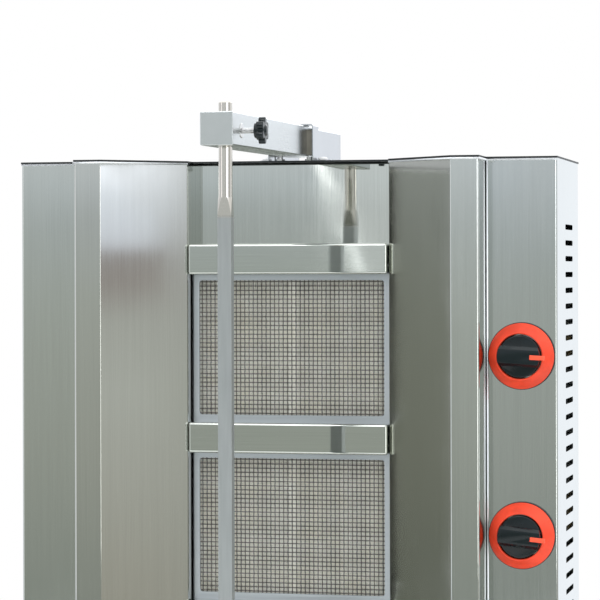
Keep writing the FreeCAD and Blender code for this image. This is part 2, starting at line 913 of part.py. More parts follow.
def drawer_front():
    return tray(drawer_half_x + face_margin, face_low, face_high, drawer_face_y, drawer_fold - play)


def drawer_handle():
    z = (drawer_low + drawer_high) / 2
    posts = [rod(handle_radius, (x, drawer_face_y, z), (x, handle_y, z)) for x in (-handle_half, handle_half)]
    knuckles = [Part.makeSphere(handle_radius, V(x, handle_y, z)) for x in (-handle_half, handle_half)]
    grip = rod(handle_radius, (-handle_half, handle_y, z), (handle_half, handle_y, z))
    return fuse(grip, *posts, *knuckles)


def drawer_runners():
    outer = runner_x + sheet
    web = block((runner_x, outer), runner_ys, (foot_height + sheet, runner_top))
    legs = []
    for low in (drawer_low - play - sheet, runner_top - sheet):
        legs.append(block((runner_x - runner_reach, outer), runner_ys, (low, low + sheet)))
    return both_sides(fuse(web, *legs))


# Motor switch and cord gland

def switch_body():
    x, z, face = switch_x, switch_z, front_y - switch_rim
    rim = block(around(x, switch_half_x + switch_rim), (face, front_y), around(z, switch_half_z + switch_rim))
    rim = rounded(rim, bend, lambda edge: edge.BoundBox.YMax < face + tiny)
    back = block(around(x, switch_half_x), (front_y, front_y + switch_depth), around(z, switch_half_z))
    well = block(around(x, well_half_x), (face - over, front_y + well_depth), around(z, well_half_z))
    return fuse(rim, back).cut(well)


# The rocker's section is drawn about its pivot: a hollow front, and a back that comes to an edge
def switch_rocker():
    tip, waist, shoulder, back = rocker_ys
    half = rocker_half_z
    outline = [(tip, -half), (waist, 0), (tip, half), (shoulder, half), (back, 0), (shoulder, -half)]
    wire = Part.makePolygon([V(y, z, 0) for y, z in outline + outline[:1]])
    rocker = along_x(Part.Face(wire), -rocker_half_x, rocker_half_x)
    rocker = rounded(rocker, rocker_edge, lambda edge: edge.BoundBox.YMax < waist + tiny)
    rocker.rotate(V(0, 0, 0), V(1, 0, 0), rocker_rest)
    rocker.translate(V(switch_x, front_y + switch_rim, switch_z))
    return rocker


def cord_gland():
    def point(y):
        return (gland_x, y, gland_z)

    inside, end = rear_y - sheet, rear_y + gland_length
    thread = rod(gland_thread - running_gap, *[point(y) for y in gland_thread_ys])
    lock_nut = hexagon(gland_lock_nut, point(inside - gland_lock_thick), point(inside))
    nut = hexagon(gland_nut, point(rear_y), point(rear_y + gland_nut_thick))
    outline = [
        (0, gland_nut_thick), (gland_dome, gland_nut_thick), (gland_dome, gland_length - gland_taper),
        (gland_mouth, gland_length), (0, gland_length),
    ]
    dome = turned(outline, point(rear_y), (0, 1, 0))
    bore = rod(gland_bore, point(gland_thread_ys[0] - over), point(end + over))
    return fuse(thread, lock_nut, nut, dome).cut(bore)


# Arm. Its own level frame has the origin on the burner plane, at the arm's underside.

def arm_place(shape):
    shape.rotate(V(0, 0, 0), V(1, 0, 0), arm_lean)
    shape.translate(V(0, burner_y, roof_top + arm_gap))
    return shape


def above_roof(shape):
    space = block((-half_width, half_width), (front_y, rear_y + past), (roof_top, roof_top + 2 * arm_size))
    return shape.common(space)


# A flat foot on the roof, with its outer corners rounded
def roof_foot(across, along, thick):
    foot = block(across, [burner_y + y for y in along], (roof_top, roof_top + thick))
    return rounded(
        foot, foot_corner, lambda edge: is_along(edge, V(0, 0, 1)) and edge.BoundBox.XMin > across[0] + over
    )


def arm_tube():
    half = arm_size / 2
    tube = block((-half, half), (arm_front, arm_rear), (0, arm_size))
    tube = rounded(tube, arm_corner, lambda edge: is_along(edge, V(0, 1, 0)))
    tube = rounded(tube, arm_edge, lambda edge: edge.BoundBox.YMax < arm_front + tiny)
    inner = half - arm_wall
    hollow = block((-inner, inner), (arm_front + arm_wall, arm_rear + over), (arm_wall, arm_size - arm_wall))
    tube = tube.cut(rounded(hollow, bend, lambda edge: is_along(edge, V(0, 1, 0))))
    tube = tube.cut(rod(insert_shank + seam, (0, clamp_y, clamp_z), (half + over, clamp_y, clamp_z)))
    hole_radius = spit_width / 2 + spit_hole_gap
    return arm_place(tube).cut(rod(hole_radius, (0, spit_y, roof_top - past), (0, spit_y, spit_top + past)))


# Nylon pads on the arm's sides, which run between the rails and under their lips
def arm_pads():
    half = arm_size / 2
    outer = rail_half - rail_wall - play
    pad = block((half, outer), (pad_front, arm_rear), (pad_low, rail_top - rail_wall - play))
    pad = rounded(pad, bend, lambda edge: is_along(edge, V(1, 0, 0)))
    pad = rounded(
        pad, pad_edge, lambda edge: is_along(edge, V(0, 1, 0)) and edge.BoundBox.XMin > outer - tiny
    )
    return arm_place(both_sides(pad))


def clamp_insert():
    bore = stud_radius + fit_gap
    chamfer = insert_proud / 2
    outline = [
        (bore, -insert_depth), (insert_shank, -insert_depth), (insert_shank, 0),
        (insert_flange, 0), (insert_flange, insert_proud - chamfer),
        (insert_flange - chamfer, insert_proud), (bore, insert_proud),
    ]
    return arm_place(turned(outline, (arm_size / 2, clamp_y, clamp_z), (1, 0, 0)))


def clamp_stud():
    tip = spit_width / 2 + play
    return arm_place(rod(stud_radius, (tip, clamp_y, clamp_z), (stud_end, clamp_y, clamp_z)))


# A star knob of six lobes, one of them up, with a domed cap in its front
def clamp_knob():
    lobes = []
    for step in range(star_lobes):
        turn = math.radians(360 / star_lobes * step)
        y, z = star_reach * math.sin(turn), star_reach * math.cos(turn)
        lobes.append(rod(star_lobe, (lobe_back, y, z), (star_front, y, z)))
    star = fuse(rod(star_core, (lobe_back, 0, 0), (star_front, 0, 0)), *lobes)
    star = rounded(star, star_edge, lambda edge: edge.BoundBox.XMin > star_front - tiny)
    core = rod(star_core, (star_back, 0, 0), (lobe_back, 0, 0))
    hub = rod(star_hub, (star_back - hub_depth, 0, 0), (star_back, 0, 0))
    shoulder = (cap_radius - cap_height, cap_height - play)
    cap = turned([(0, 0), (cap_radius, 0), shoulder, (0, cap_height)], (star_front, 0, 0), (1, 0, 0))
    bore = rod(stud_radius + fit_gap, (star_back - hub_depth - over, 0, 0), (stud_end + seam, 0, 0))
    star = fuse(star, core, hub, cap).cut(bore)
    star.translate(V(0, clamp_y, clamp_z))
    return arm_place(star)


# An inverted U over the arm, with feet on the roof
def arm_collar():
    wall, half = collar_wall, collar_half
    top = arm_size + play + wall
    outline = [(half, -legs_below), (half, top), (-half, top), (-half, -legs_below)]
    hood = arm_place(along_y(bent_section(outline, wall, bend), 0, collar_length))
    foot = roof_foot((half - wall, collar_foot_x), (collar_foot_from, collar_length), wall)
    return fuse(above_roof(hood), foot, mirrored(foot))


def arm_rails():
    outline = [(rail_half, -legs_below), (rail_half, rail_top), (lip_inner, rail_top)]
    rail = arm_place(along_y(bent_section(outline, rail_wall, bend), rail_from, rail_end))
    foot = roof_foot((rail_half - rail_wall, rail_foot_x), (rail_from, rail_end - over), rail_wall)
    return both_sides(fuse(above_roof(rail), foot))


# Two set screws with nuts, on which the arm rests in the collar
def level_screws():
    y = burner_y + level_y
    top = roof_top + arm_gap + level_y * math.tan(math.radians(arm_lean)) - play
    screws = []
    for x in (-level_x, level_x):
        screw = rod(level_radius, (x, y, roof_top), (x, y, top))
        screws.append(fuse(screw, hexagon(level_nut, (x, y, roof_top), (x, y, roof_top + level_nut_thick))))
    return group(screws)


def pan_head(origin, axis):
    rim, crown = head_height / 2, (head_crown[0] * head_radius, head_crown[1] * head_height)
    return turned([(0, 0), (head_radius, 0), (head_radius, rim), crown, (0, head_height)], origin, axis)


# Pan-head screws on the roof, the rear panel and the base's sides
def casing_screws():
    collar_x, collar_y = collar_screw
    rail_x, rail_y = rail_screw
    screws = []
    for side in (-1, 1):
        screws.append(pan_head((side * collar_x, burner_y + collar_y, roof_top + collar_wall), (0, 0, 1)))
        screws.append(pan_head((side * rail_x, burner_y + rail_y, roof_top + rail_wall), (0, 0, 1)))
        for z in rear_screw_zs:
            screws.append(pan_head((side * rear_screw_x, rear_y, z), (0, 1, 0)))
        for y in side_screw_ys:
            screws.append(pan_head((side * half_width, y, side_screw_z), (side, 0, 0)))
    for x in rear_top_xs:
        screws.append(pan_head((x, rear_y, rear_screw_zs[-1]), (0, 1, 0)))
    return group(screws)


def all_parts():
    column, wing = right_column(), right_wing()
    slots = vent_slots()
    parts = {
        "base_pan": base_pan(),
        "base_front": base_front(),
        "base_deck": base_deck(),
        "rubber_feet": rubber_feet(),
        "rear_panel": rear_panel(),
        "roof_panel": roof_panel(),
        "left_column": mirrored(column.cut(slots)),
        "right_column": column.cut(slots).cut(knob_holes()),
        "left_wing": mirrored(wing),
        "right_wing": wing,
        "fascia_panels": fascia_panels(),
        "burner_posts": burner_posts(),
        "deflector_strips": deflector_strips(),
        "burner_frames": group([burner_frame(z) for z in burner_zs()]),
        "burner_meshes": group([burner_mesh(z) for z in burner_zs()]),
        "ceramic_tiles": ceramic_tiles(),
        "burner_boxes": burner_boxes(),
        "mixing_tubes": mixing_tubes(),
        "gas_injectors": gas_injectors(),
        "gas_pipes": gas_pipes(),
        "gas_valves": gas_valves(),
        "gas_manifold": gas_manifold(),
        "gas_inlet": gas_inlet(),
        "knob_bezels": knob_bezels(),
        "spit_bar": spit_bar(),
        "meat_disc": meat_disc(),
        "drive_shaft": drive_shaft(),
        "carriage_plate": carriage_plate(),
        "carriage_rails": carriage_rails(),
        "gearbox": gearbox(),
        "motor_can": motor_can(),
        "drip_pan": drip_pan(),
        "drawer_box": drawer_box(),
        "drawer_front": drawer_front(),
        "drawer_handle": drawer_handle(),
        "drawer_runners": drawer_runners(),
        "switch_body": switch_body(),
        "switch_rocker": switch_rocker(),
        "cord_gland": cord_gland(),
        "arm_tube": arm_tube(),
        "arm_pads": arm_pads(),
        "arm_collar": arm_collar(),
        "arm_rails": arm_rails(),
        "level_screws": level_screws(),
        "clamp_insert": clamp_insert(),
        "clamp_stud": clamp_stud(),
        "clamp_knob": clamp_knob(),
        "casing_screws": casing_screws(),
    }
    for k, (z, turn) in enumerate(zip(knob_zs(), knob_rest_turn), 1):
        parts[f"valve_plunger_{k}"] = valve_plunger(z)
        parts[f"valve_spindle_{k}"] = valve_spindle(z)
        parts[f"knob_{k}"] = knob(z, turn)
        parts[f"pointer_{k}"] = pointer(z, turn)
    return parts


os.makedirs("parts", exist_ok=True)
for name, shape in all_parts().items():
    if not shape.isValid():
        print("not valid:", name)
    shape.exportStep(f"parts/{name}.step")
    box = shape.BoundBox
    print(f"{name}: {len(shape.Solids)} solids, z {box.ZMin:.1f} to {box.ZMax:.1f}")
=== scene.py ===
import json
import math
import bpy
import bmesh
from mathutils import Matrix, Vector

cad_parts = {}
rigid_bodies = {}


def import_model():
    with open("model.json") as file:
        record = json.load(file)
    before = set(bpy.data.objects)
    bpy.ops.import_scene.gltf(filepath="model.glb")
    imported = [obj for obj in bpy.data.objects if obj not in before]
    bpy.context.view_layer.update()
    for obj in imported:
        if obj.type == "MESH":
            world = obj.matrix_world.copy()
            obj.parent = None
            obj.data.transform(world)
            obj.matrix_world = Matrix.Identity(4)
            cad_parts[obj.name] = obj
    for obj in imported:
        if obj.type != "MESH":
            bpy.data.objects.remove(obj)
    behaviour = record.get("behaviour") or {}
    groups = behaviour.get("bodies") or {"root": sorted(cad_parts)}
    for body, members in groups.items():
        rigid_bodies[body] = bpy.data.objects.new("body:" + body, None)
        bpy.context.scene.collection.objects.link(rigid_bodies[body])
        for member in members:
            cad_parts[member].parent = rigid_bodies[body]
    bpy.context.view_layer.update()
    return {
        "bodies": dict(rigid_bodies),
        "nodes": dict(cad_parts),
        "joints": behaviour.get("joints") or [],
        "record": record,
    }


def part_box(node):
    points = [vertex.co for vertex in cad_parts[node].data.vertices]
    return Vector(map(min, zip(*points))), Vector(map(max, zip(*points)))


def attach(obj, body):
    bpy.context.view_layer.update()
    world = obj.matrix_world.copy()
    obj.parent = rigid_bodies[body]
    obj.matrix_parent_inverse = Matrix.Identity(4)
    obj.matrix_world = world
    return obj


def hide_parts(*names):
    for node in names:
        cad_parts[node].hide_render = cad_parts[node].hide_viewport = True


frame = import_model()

nodes = frame["nodes"]
scene = bpy.context.scene


# Node sockets that can be added, multiplied and so on
class Sock:
    def __init__(self, graph, socket):
        self.graph = graph
        self.socket = socket

    def other(self, name):  # another output of the same node
        return Sock(self.graph, self.socket.node.outputs[name])

    def maths(self, operation, first, second=None):
        values = {0: first} if second is None else {0: first, 1: second}
        return self.graph.node("ShaderNodeMath", {"operation": operation}, values)

    def __add__(self, value):
        return self.maths("ADD", self, value)

    def __sub__(self, value):
        return self.maths("SUBTRACT", self, value)

    def __rsub__(self, value):
        return self.maths("SUBTRACT", value, self)

    def __mul__(self, value):
        return self.maths("MULTIPLY", self, value)

    def __truediv__(self, value):
        return self.maths("DIVIDE", self, value)

    def __rtruediv__(self, value):
        return self.maths("DIVIDE", value, self)

    def __mod__(self, value):
        return self.maths("FLOORED_MODULO", self, value)

    def __pow__(self, value):
        return self.maths("POWER", self, value)

    def __neg__(self):
        return self.maths("MULTIPLY", self, -1.0)

    __radd__ = __add__
    __rmul__ = __mul__

    def below(self, value):
        return self.maths("LESS_THAN", self, value)

    def floor(self):
        return self.maths("FLOOR", self)

    def cosine(self):
        return self.maths("COSINE", self)


# One node tree, for a material, the world or a geometry modifier
class Graph:
    def __init__(self, tree):
        self.tree = tree

    def node(self, kind, settings=None, inputs=None, out=0):
        made = self.tree.nodes.new(kind)
        for name, value in (settings or {}).items():
            if name == "stops":
                ramp = made.color_ramp
                for place, colour in value[1:-1]:
                    ramp.elements.new(place).color = (*colour, 1)
                for element, (place, colour) in zip(ramp.elements, value):
                    element.position = place
                    element.color = (*colour, 1)
            else:
                setattr(made, name, value)
        for key, value in (inputs or {}).items():
            for one in value if isinstance(value, list) else [value]:
                if isinstance(one, Sock):
                    self.tree.links.new(one.socket, made.inputs[key])
                else:
                    made.inputs[key].default_value = one
        return Sock(self, made.outputs[out]) if made.outputs else made

    def place(self, scale=(1, 1, 1), turn=(0, 0, 0)):
        spot = self.node("ShaderNodeTexCoord", out="Object")
        return self.node("ShaderNodeMapping", None, {"Vector": spot, "Scale": scale, "Rotation": turn})

    def noise(self, scale, detail=3.0, rough=0.55, size=1.0):
        where = self.place(scale)
        return self.node("ShaderNodeTexNoise", None, {"Vector": where, "Scale": size, "Detail": detail,
                                                      "Roughness": rough})

    def spread(self, value, low, high, toLow=0.0, toHigh=1.0, kind="SMOOTHSTEP"):
        return self.node("ShaderNodeMapRange", {"interpolation_type": kind}, {
            "Value": value, "From Min": low, "From Max": high, "To Min": toLow, "To Max": toHigh})

    def mix(self, factor, first, second, blend="MIX"):
        first = (*first, 1) if isinstance(first, tuple) else first
        second = (*second, 1) if isinstance(second, tuple) else second
        return self.node("ShaderNodeMix", {"data_type": "RGBA", "blend_type": blend},
                         {0: factor, 6: first, 7: second}, out=2)

    def bump(self, height, distance, strength=1.0, normal=None):
        inputs = {"Height": height, "Distance": distance, "Strength": strength}
        if normal is not None:
            inputs["Normal"] = normal
        return self.node("ShaderNodeBump", None, inputs)


def newMaterial(name):
    material = bpy.data.materials.new(name)
    material.use_nodes = True
    graph = Graph(material.node_tree)
    shader = material.node_tree.nodes["Principled BSDF"]
    return material, graph, shader


def wire(graph, shader, **sources):
    for name, source in sources.items():
        socket = shader.inputs[name.replace("_", " ")]
        if isinstance(source, Sock):
            graph.tree.links.new(source.socket, socket)
        else:
            socket.default_value = source


# Steel sheet, brushed along one axis. "wave" is how far the sheet is from flat, in metres, and
# "brush" is how strongly the brush marks show, where that differs from brushMarks.
steelLooks = {
    "casingSteel": {"colour": (0.60, 0.618, 0.585), "rough": 0.075, "along": "z", "wave": 0.00012},
    "sideSteel": {"colour": (0.60, 0.625, 0.615), "rough": 0.085, "along": "z", "wave": 0.00010},
    "wingSteel": {"colour": (0.61, 0.615, 0.58), "rough": 0.060, "along": "z", "wave": 0.00022},
    # the right wing's angled panel in a darker tone as painted shade; past the fold its front strip keeps a
    # lighter tone
    "paintedShadeSteel": {"colour": (0.50, 0.505, 0.46), "rough": 0.090, "along": "z", "wave": 0.00012,
                   "foldX": 0.1665, "beyond": (0.62, 0.64, 0.615)},
    "fasciaSteel": {"colour": (0.58, 0.60, 0.565), "rough": 0.022, "along": "z", "wave": 0.00012,
                    "brush": 0.04},
    "stripSteel": {"colour": (0.58, 0.605, 0.57), "rough": 0.035, "along": "x", "wave": 0.00006},
    "frameSteel": {"colour": (0.50, 0.53, 0.56), "rough": 0.30, "along": "x", "wave": 0.0001},
    "armSteel": {"colour": (0.60, 0.625, 0.63), "rough": 0.24, "along": "y", "wave": 0.0001},
    "collarSteel": {"colour": (0.55, 0.565, 0.59), "rough": 0.18, "along": "z", "wave": 0.0001},
    "deckSteel": {"colour": (0.60, 0.61, 0.59), "rough": 0.28, "along": "x", "wave": 0.0006},
    "panSteel": {"colour": (0.60, 0.60, 0.58), "rough": 0.24, "along": "x", "wave": 0.0003},
    "pipeSteel": {"colour": (0.42, 0.42, 0.41), "rough": 0.40, "along": "z", "wave": 0.0},
    # the hems and the seam bar: steel far lighter than the sheets, a painted highlight
    "paintedHighlightSteel": {"colour": (0.88, 0.90, 0.93), "rough": 0.34, "along": "z", "wave": 0.0},
}
brushMarks = {
    "fine": 1400.0, "band": 160.0, "fineAlong": 14.0, "bandAlong": 1.75, "depth": 0.00002, "strength": 0.10,
    "tint": 0.03, "grime": (0.52, 0.51, 0.47), "foldBlend": 0.0005, "anisotropy": 0.45, "swell": 8,
}


def brushedSteel(name, look):
    material, graph, shader = newMaterial(name)
    axis = "xyz".index(look["along"])
    fineScale, bandScale = [brushMarks["fine"]] * 3, [brushMarks["band"]] * 3
    fineScale[axis], bandScale[axis] = brushMarks["fineAlong"], brushMarks["bandAlong"]
    fine = graph.noise(tuple(fineScale), detail=2.0)
    bands = graph.noise(tuple(bandScale), detail=2.0)
    smudge = graph.noise((9, 9, 7), detail=4.0)

    def tinted(colour):
        return [tuple(Vector(colour) * (1 + side * brushMarks["tint"])) for side in (-1, 1)]

    dark, light = tinted(look["colour"])
    # the darker tone before the fold is painted shade, and the tone past the fold is the sheet's plain one
    if "foldX" in look:  # a second tone beyond a fold
        aside = graph.node("ShaderNodeSeparateXYZ", None, {0: graph.place()})
        fold, blend = look["foldX"], brushMarks["foldBlend"]
        beyond = graph.spread(aside, fold - blend, fold + blend)
        farDark, farLight = tinted(look["beyond"])
        dark, light = graph.mix(beyond, dark, farDark), graph.mix(beyond, light, farLight)
    base = graph.mix(graph.spread(fine * 0.6 + bands * 0.4, 0.3, 0.7), dark, light)
    base = graph.mix(graph.spread(smudge, 0.45, 0.75, 0.0, 0.06), base, brushMarks["grime"])
    rough = look["rough"] + (fine - 0.5) * 0.05 + graph.spread(smudge, 0.35, 0.7, -0.01, 0.04)
    normal = graph.bump(fine, brushMarks["depth"], look.get("brush", brushMarks["strength"]))
    if look["wave"] > 0:  # slow swells, stretched because the noise stays near its middle
        swell = graph.noise((3.2, 3.2, 2.4), detail=1.0, rough=0.4)
        normal = graph.bump(swell, look["wave"] * brushMarks["swell"], 1.0, normal)
    wire(graph, shader, Base_Color=base, Metallic=1.0, Roughness=rough, Normal=normal)
    shader.inputs["Anisotropic"].default_value = brushMarks["anisotropy"]
    shader.inputs["Anisotropic Rotation"].default_value = 0.0 if look["along"] == "z" else 0.25
    return material


# The roof sheet: brushed steel on top, and its edge faces, which face any way but up, coloured near black as
# painted shade
def roofSteel():
    material, graph, shader = newMaterial("roofSteel")
    fine = graph.noise((14, 1400, 1400), detail=2.0)
    facing = graph.node("ShaderNodeNewGeometry", out="Normal")
    up = graph.node("ShaderNodeSeparateXYZ", None, {0: facing}, out="Z")
    flat = graph.spread(up, 0.3, 0.7)
    # the near-black colour on faces not facing up is painted shade, standing for the dark line at the roof's
    # edge
    base = graph.mix(flat, (0.045, 0.048, 0.05), graph.mix(fine, (0.54, 0.55, 0.53), (0.63, 0.64, 0.62)))
    wire(graph, shader, Base_Color=base, Metallic=1.0, Roughness=0.45 - flat * 0.2 + fine * 0.06,
         Normal=graph.bump(fine, 0.00002, 0.3))
    return material


plasticLooks = {
    "glossBlack": {"colour": (0.006, 0.011, 0.013), "rough": 0.10, "grain": 0.00001, "coat": 0.0},
    "bezelRed": {"colour": (0.86, 0.062, 0.021), "rough": 0.42, "grain": 0.00002, "coat": 0.05},
    "pointerRed": {"colour": (0.95, 0.10, 0.045), "rough": 0.42, "grain": 0.00002, "coat": 0.05},
    "nylonBlack": {"colour": (0.022, 0.022, 0.023), "rough": 0.52, "grain": 0.00005, "coat": 0.0},
    "nylonGrey": {"colour": (0.230, 0.215, 0.180), "rough": 0.50, "grain": 0.00005, "coat": 0.0},
    "footRubber": {"colour": (0.020, 0.020, 0.020), "rough": 0.78, "grain": 0.00010, "coat": 0.0},
    "motorEnamel": {"colour": (0.030, 0.033, 0.038), "rough": 0.36, "grain": 0.00006, "coat": 0.3},
}


def mouldedPlastic(name, look):
    material, graph, shader = newMaterial(name)
    speck = graph.noise((2600, 2600, 2600), detail=2.0)
    cloud = graph.noise((60, 60, 60), detail=3.0)
    colour = Vector(look["colour"])
    base = graph.mix(graph.spread(cloud, 0.3, 0.7), tuple(colour * 0.88), tuple(colour * 1.12))
    rough = look["rough"] + (cloud - 0.5) * 0.10 + (speck - 0.5) * 0.06
    normal = graph.bump(speck, look["grain"] * 4, 0.6)
    wire(graph, shader, Base_Color=base, Roughness=rough, Normal=normal)
    shader.inputs["Coat Weight"].default_value = look["coat"]
    shader.inputs["Coat Roughness"].default_value = 0.08
    shader.inputs["Specular IOR Level"].default_value = 0.35  # a little duller than the usual 0.5
    return material


# Turned, cast and drawn metal, with a fine grain that is stretched by its scale
metalLooks = {
    "turnedSteel": {"colour": (0.66, 0.62, 0.56), "rough": 0.16, "scale": (40, 40, 2200), "depth": 0.00001},
    "studSteel": {"colour": (0.66, 0.66, 0.66), "rough": 0.22, "scale": (900, 900, 900), "depth": 0.00001},
    "screwSteel": {"colour": (0.70, 0.66, 0.58), "rough": 0.24, "scale": (700, 700, 700), "depth": 0.00002},
    "brass": {"colour": (0.70, 0.50, 0.22), "rough": 0.30, "scale": (300, 1500, 300), "depth": 0.00002},
    "castAluminium": {"colour": (0.55, 0.56, 0.57), "rough": 0.50, "scale": (500, 500, 500),
                      "depth": 0.00012},
    "meshWire": {"colour": (0.15, 0.141, 0.125), "rough": 0.26, "scale": (400, 400, 400), "depth": 0.00002},
}


def barMetal(name, look):
    material, graph, shader = newMaterial(name)
    fine = graph.noise(look["scale"], detail=2.0)
    cloud = graph.noise((35, 35, 12), detail=3.0)
    colour = Vector(look["colour"])
    patches = graph.spread(fine * 0.5 + cloud * 0.5, 0.3, 0.7)
    base = graph.mix(patches, tuple(colour * 0.86), tuple(colour * 1.1))
    rough = look["rough"] + (fine - 0.5) * 0.10 + (cloud - 0.5) * 0.12
    wire(graph, shader, Base_Color=base, Metallic=1.0, Roughness=rough,
         Normal=graph.bump(fine, look["depth"], 0.8))
    return material


# The spit bar: ground bright above the shoulder and left matt below it
spitLook = {
    "turnedLength": 0.0971, "shoulder": 0.004, "matt": [(0.34, 0.36, 0.365), (0.43, 0.45, 0.45)],
    "bright": [(0.60, 0.565, 0.51), (0.74, 0.70, 0.64)],
}


def spitSteel():
    material, graph, shader = newMaterial("spitSteel")
    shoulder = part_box("spit_bar")[1].z - spitLook["turnedLength"]
    height = graph.node("ShaderNodeSeparateXYZ", None, {0: graph.place()}, out="Z")
    turned = graph.spread(height, shoulder - spitLook["shoulder"], shoulder)
    lines = graph.noise((500, 500, 30), detail=3.0)
    rings = graph.noise((30, 30, 1800), detail=2.0)
    base = graph.mix(turned, graph.mix(lines, *spitLook["matt"]), graph.mix(rings, *spitLook["bright"]))
    rough = (0.44 + (lines - 0.5) * 0.12) * (1 - turned) + (0.13 + (rings - 0.5) * 0.06) * turned
    wire(graph, shader, Base_Color=base, Metallic=1.0, Roughness=rough,
         Normal=graph.bump(lines, 0.00003, 0.6))
    return material


# Fired ceramic of the radiant tiles, cream with darker grains
def ceramic():
    material, graph, shader = newMaterial("ceramic")
    cloud = graph.noise((26, 26, 34), detail=4.0)
    speck = graph.noise((1500, 1500, 1500), detail=2.0)
    base = graph.mix(graph.spread(cloud, 0.35, 0.7), (0.98, 0.965, 0.90), (0.96, 0.93, 0.83))
    base = graph.mix(graph.spread(speck, 0.35, 0.75, 0.0, 0.08), base, (0.62, 0.55, 0.43))
    wire(graph, shader, Base_Color=base, Roughness=0.92 + (speck - 0.5) * 0.08,
         Normal=graph.bump(speck, 0.00015, 0.7))
    return material


print("materials")
finish = {name: brushedSteel(name, look) for name, look in steelLooks.items()}
finish.update({name: mouldedPlastic(name, look) for name, look in plasticLooks.items()})
finish.update({name: barMetal(name, look) for name, look in metalLooks.items()})
finish["roofSteel"] = roofSteel()
finish["spitSteel"] = spitSteel()
finish["ceramic"] = ceramic()

dressing = {
    "casingSteel": "left_column base_front",
    "sideSteel": "right_column base_pan rear_panel",
    "wingSteel": "left_wing",
    "paintedShadeSteel": "right_wing",
    "fasciaSteel": "fascia_panels",
    "stripSteel": "deflector_strips",
    "frameSteel": "burner_frames burner_boxes",
    "armSteel": "arm_tube",
    "collarSteel": "arm_collar arm_rails",
    "deckSteel": "base_deck drawer_front",
    "panSteel": "drip_pan drawer_box meat_disc",
    "pipeSteel": "burner_posts mixing_tubes gas_pipes gas_manifold carriage_plate carriage_rails "
                 "drawer_runners",
    "roofSteel": "roof_panel",
    "spitSteel": "spit_bar",
    "turnedSteel": "drive_shaft drawer_handle",
    "brass": "gas_injectors gas_valves gas_inlet valve_spindle_1 valve_spindle_2 valve_spindle_3 "
             "valve_plunger_1 valve_plunger_2 valve_plunger_3",
    "studSteel": "clamp_stud level_screws clamp_insert",
    "screwSteel": "casing_screws",
    "glossBlack": "knob_1 knob_2 knob_3 clamp_knob switch_rocker",
    "bezelRed": "knob_bezels",
    "pointerRed": "pointer_1 pointer_2 pointer_3",
    "nylonGrey": "arm_pads",
    "nylonBlack": "switch_body cord_gland",
    "footRubber": "rubber_feet",
    "castAluminium": "gearbox",
    "motorEnamel": "motor_can",
    "meshWire": "burner_meshes",
    "ceramic": "ceramic_tiles",
}
for name, members in dressing.items():
    for member in members.split():
        nodes[member].data.materials.clear()
        nodes[member].data.materials.append(finish[name])


# Meshes

def newObject(name, mesh, material, smooth=True):
    piece = bpy.data.objects.new(name, mesh)
    scene.collection.objects.link(piece)
    if material is not None:
        mesh.materials.clear()
        mesh.materials.append(material)
    if smooth:
        mesh.polygons.foreach_set("use_smooth", [True] * len(mesh.polygons))
    return piece


def finishPiece(piece, body, slot, *replaced):
    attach(piece, body)
    if replaced:
        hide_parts(*replaced)
    return piece


def meshOf(name, points, faces):
    mesh = bpy.data.meshes.new(name)
    mesh.from_pydata(points, [], faces)
    shape = bmesh.new()
    shape.from_mesh(mesh)
    bmesh.ops.remove_doubles(shape, verts=shape.verts, dist=1e-7)
    bmesh.ops.recalc_face_normals(shape, faces=shape.faces)
    shape.to_mesh(mesh)
    shape.free()
    return mesh


# Points round an axis, from (radius, height) pairs, closed at the poles where the radius is nothing
def turnedMesh(name, outline, steps, place):
    points, faces = [], []
    for radius, height in outline:
        for step in range(steps):
            angle = 2 * math.pi * step / steps
            points.append(place @ Vector((radius * math.cos(angle), radius * math.sin(angle), height)))
    for ring in range(len(outline) - 1):
        for step in range(steps):
            after = (step + 1) % steps
            low, high = ring * steps, (ring + 1) * steps
            faces.append((low + step, low + after, high + after, high + step))
    return meshOf(name, points, faces)


def axisPlace(origin, axis):
    return Matrix.Translation(origin) @ Vector(axis).to_track_quat("Z", "Y").to_matrix().to_4x4()


# A round corner between two outline points, as (radius, height) pairs
def arc(centre, radius, start, end, steps=5):
    turns = [math.radians(start + (end - start) * step / steps) for step in range(steps + 1)]
    return [(centre[0] + radius * math.cos(turn), centre[1] + radius * math.sin(turn)) for turn in turns]


# A screw thread on a rod from 0 to its length
def threadedMesh(name, radius, depth, pitch, length, steps, place):
    ringsInTurn = 8
    rings = round(length / pitch * ringsInTurn)
    points, faces = [], []
    for ring in range(rings + 1):
        height = length * ring / rings
        for step in range(steps):
            phase = (height / pitch - step / steps) % 1
            run = min(height, length - height) / pitch  # turns from the nearer end
            tooth = depth * abs(2 * phase - 1) * min(1, run)
            blunt = depth * 0.6 * (1 - min(1, run * 2))
            reach = radius - blunt - tooth
            angle = 2 * math.pi * step / steps
            points.append(place @ Vector((reach * math.cos(angle), reach * math.sin(angle), height)))
    for ring in range(rings):
        for step in range(steps):
            after = (step + 1) % steps
            low, high = ring * steps, (ring + 1) * steps
            faces.append((low + step, low + after, high + after, high + step))
    faces.append(tuple(reversed(range(steps))))
    faces.append(tuple(rings * steps + step for step in range(steps)))
    return meshOf(name, points, faces)


# A copy of a CAD node with its sharp edges rounded off
def softened(name, node, width, material, sharp=30):
    shape = bmesh.new()
    shape.from_mesh(nodes[node].data)
    bmesh.ops.remove_doubles(shape, verts=shape.verts, dist=2e-6)
    bmesh.ops.dissolve_limit(shape, angle_limit=math.radians(1), verts=shape.verts, edges=shape.edges)
    limit = math.radians(sharp)
    edges = [edge for edge in shape.edges if edge.is_manifold and edge.calc_face_angle() > limit]
    bmesh.ops.bevel(shape, geom=edges, offset=width, offset_type="OFFSET", segments=3, profile=0.5,
                    affect="EDGES", clamp_overlap=True)
    mesh = bpy.data.meshes.new(name)
    shape.to_mesh(mesh)
    shape.free()
    return newObject(name, mesh, material)


# Geometry trees

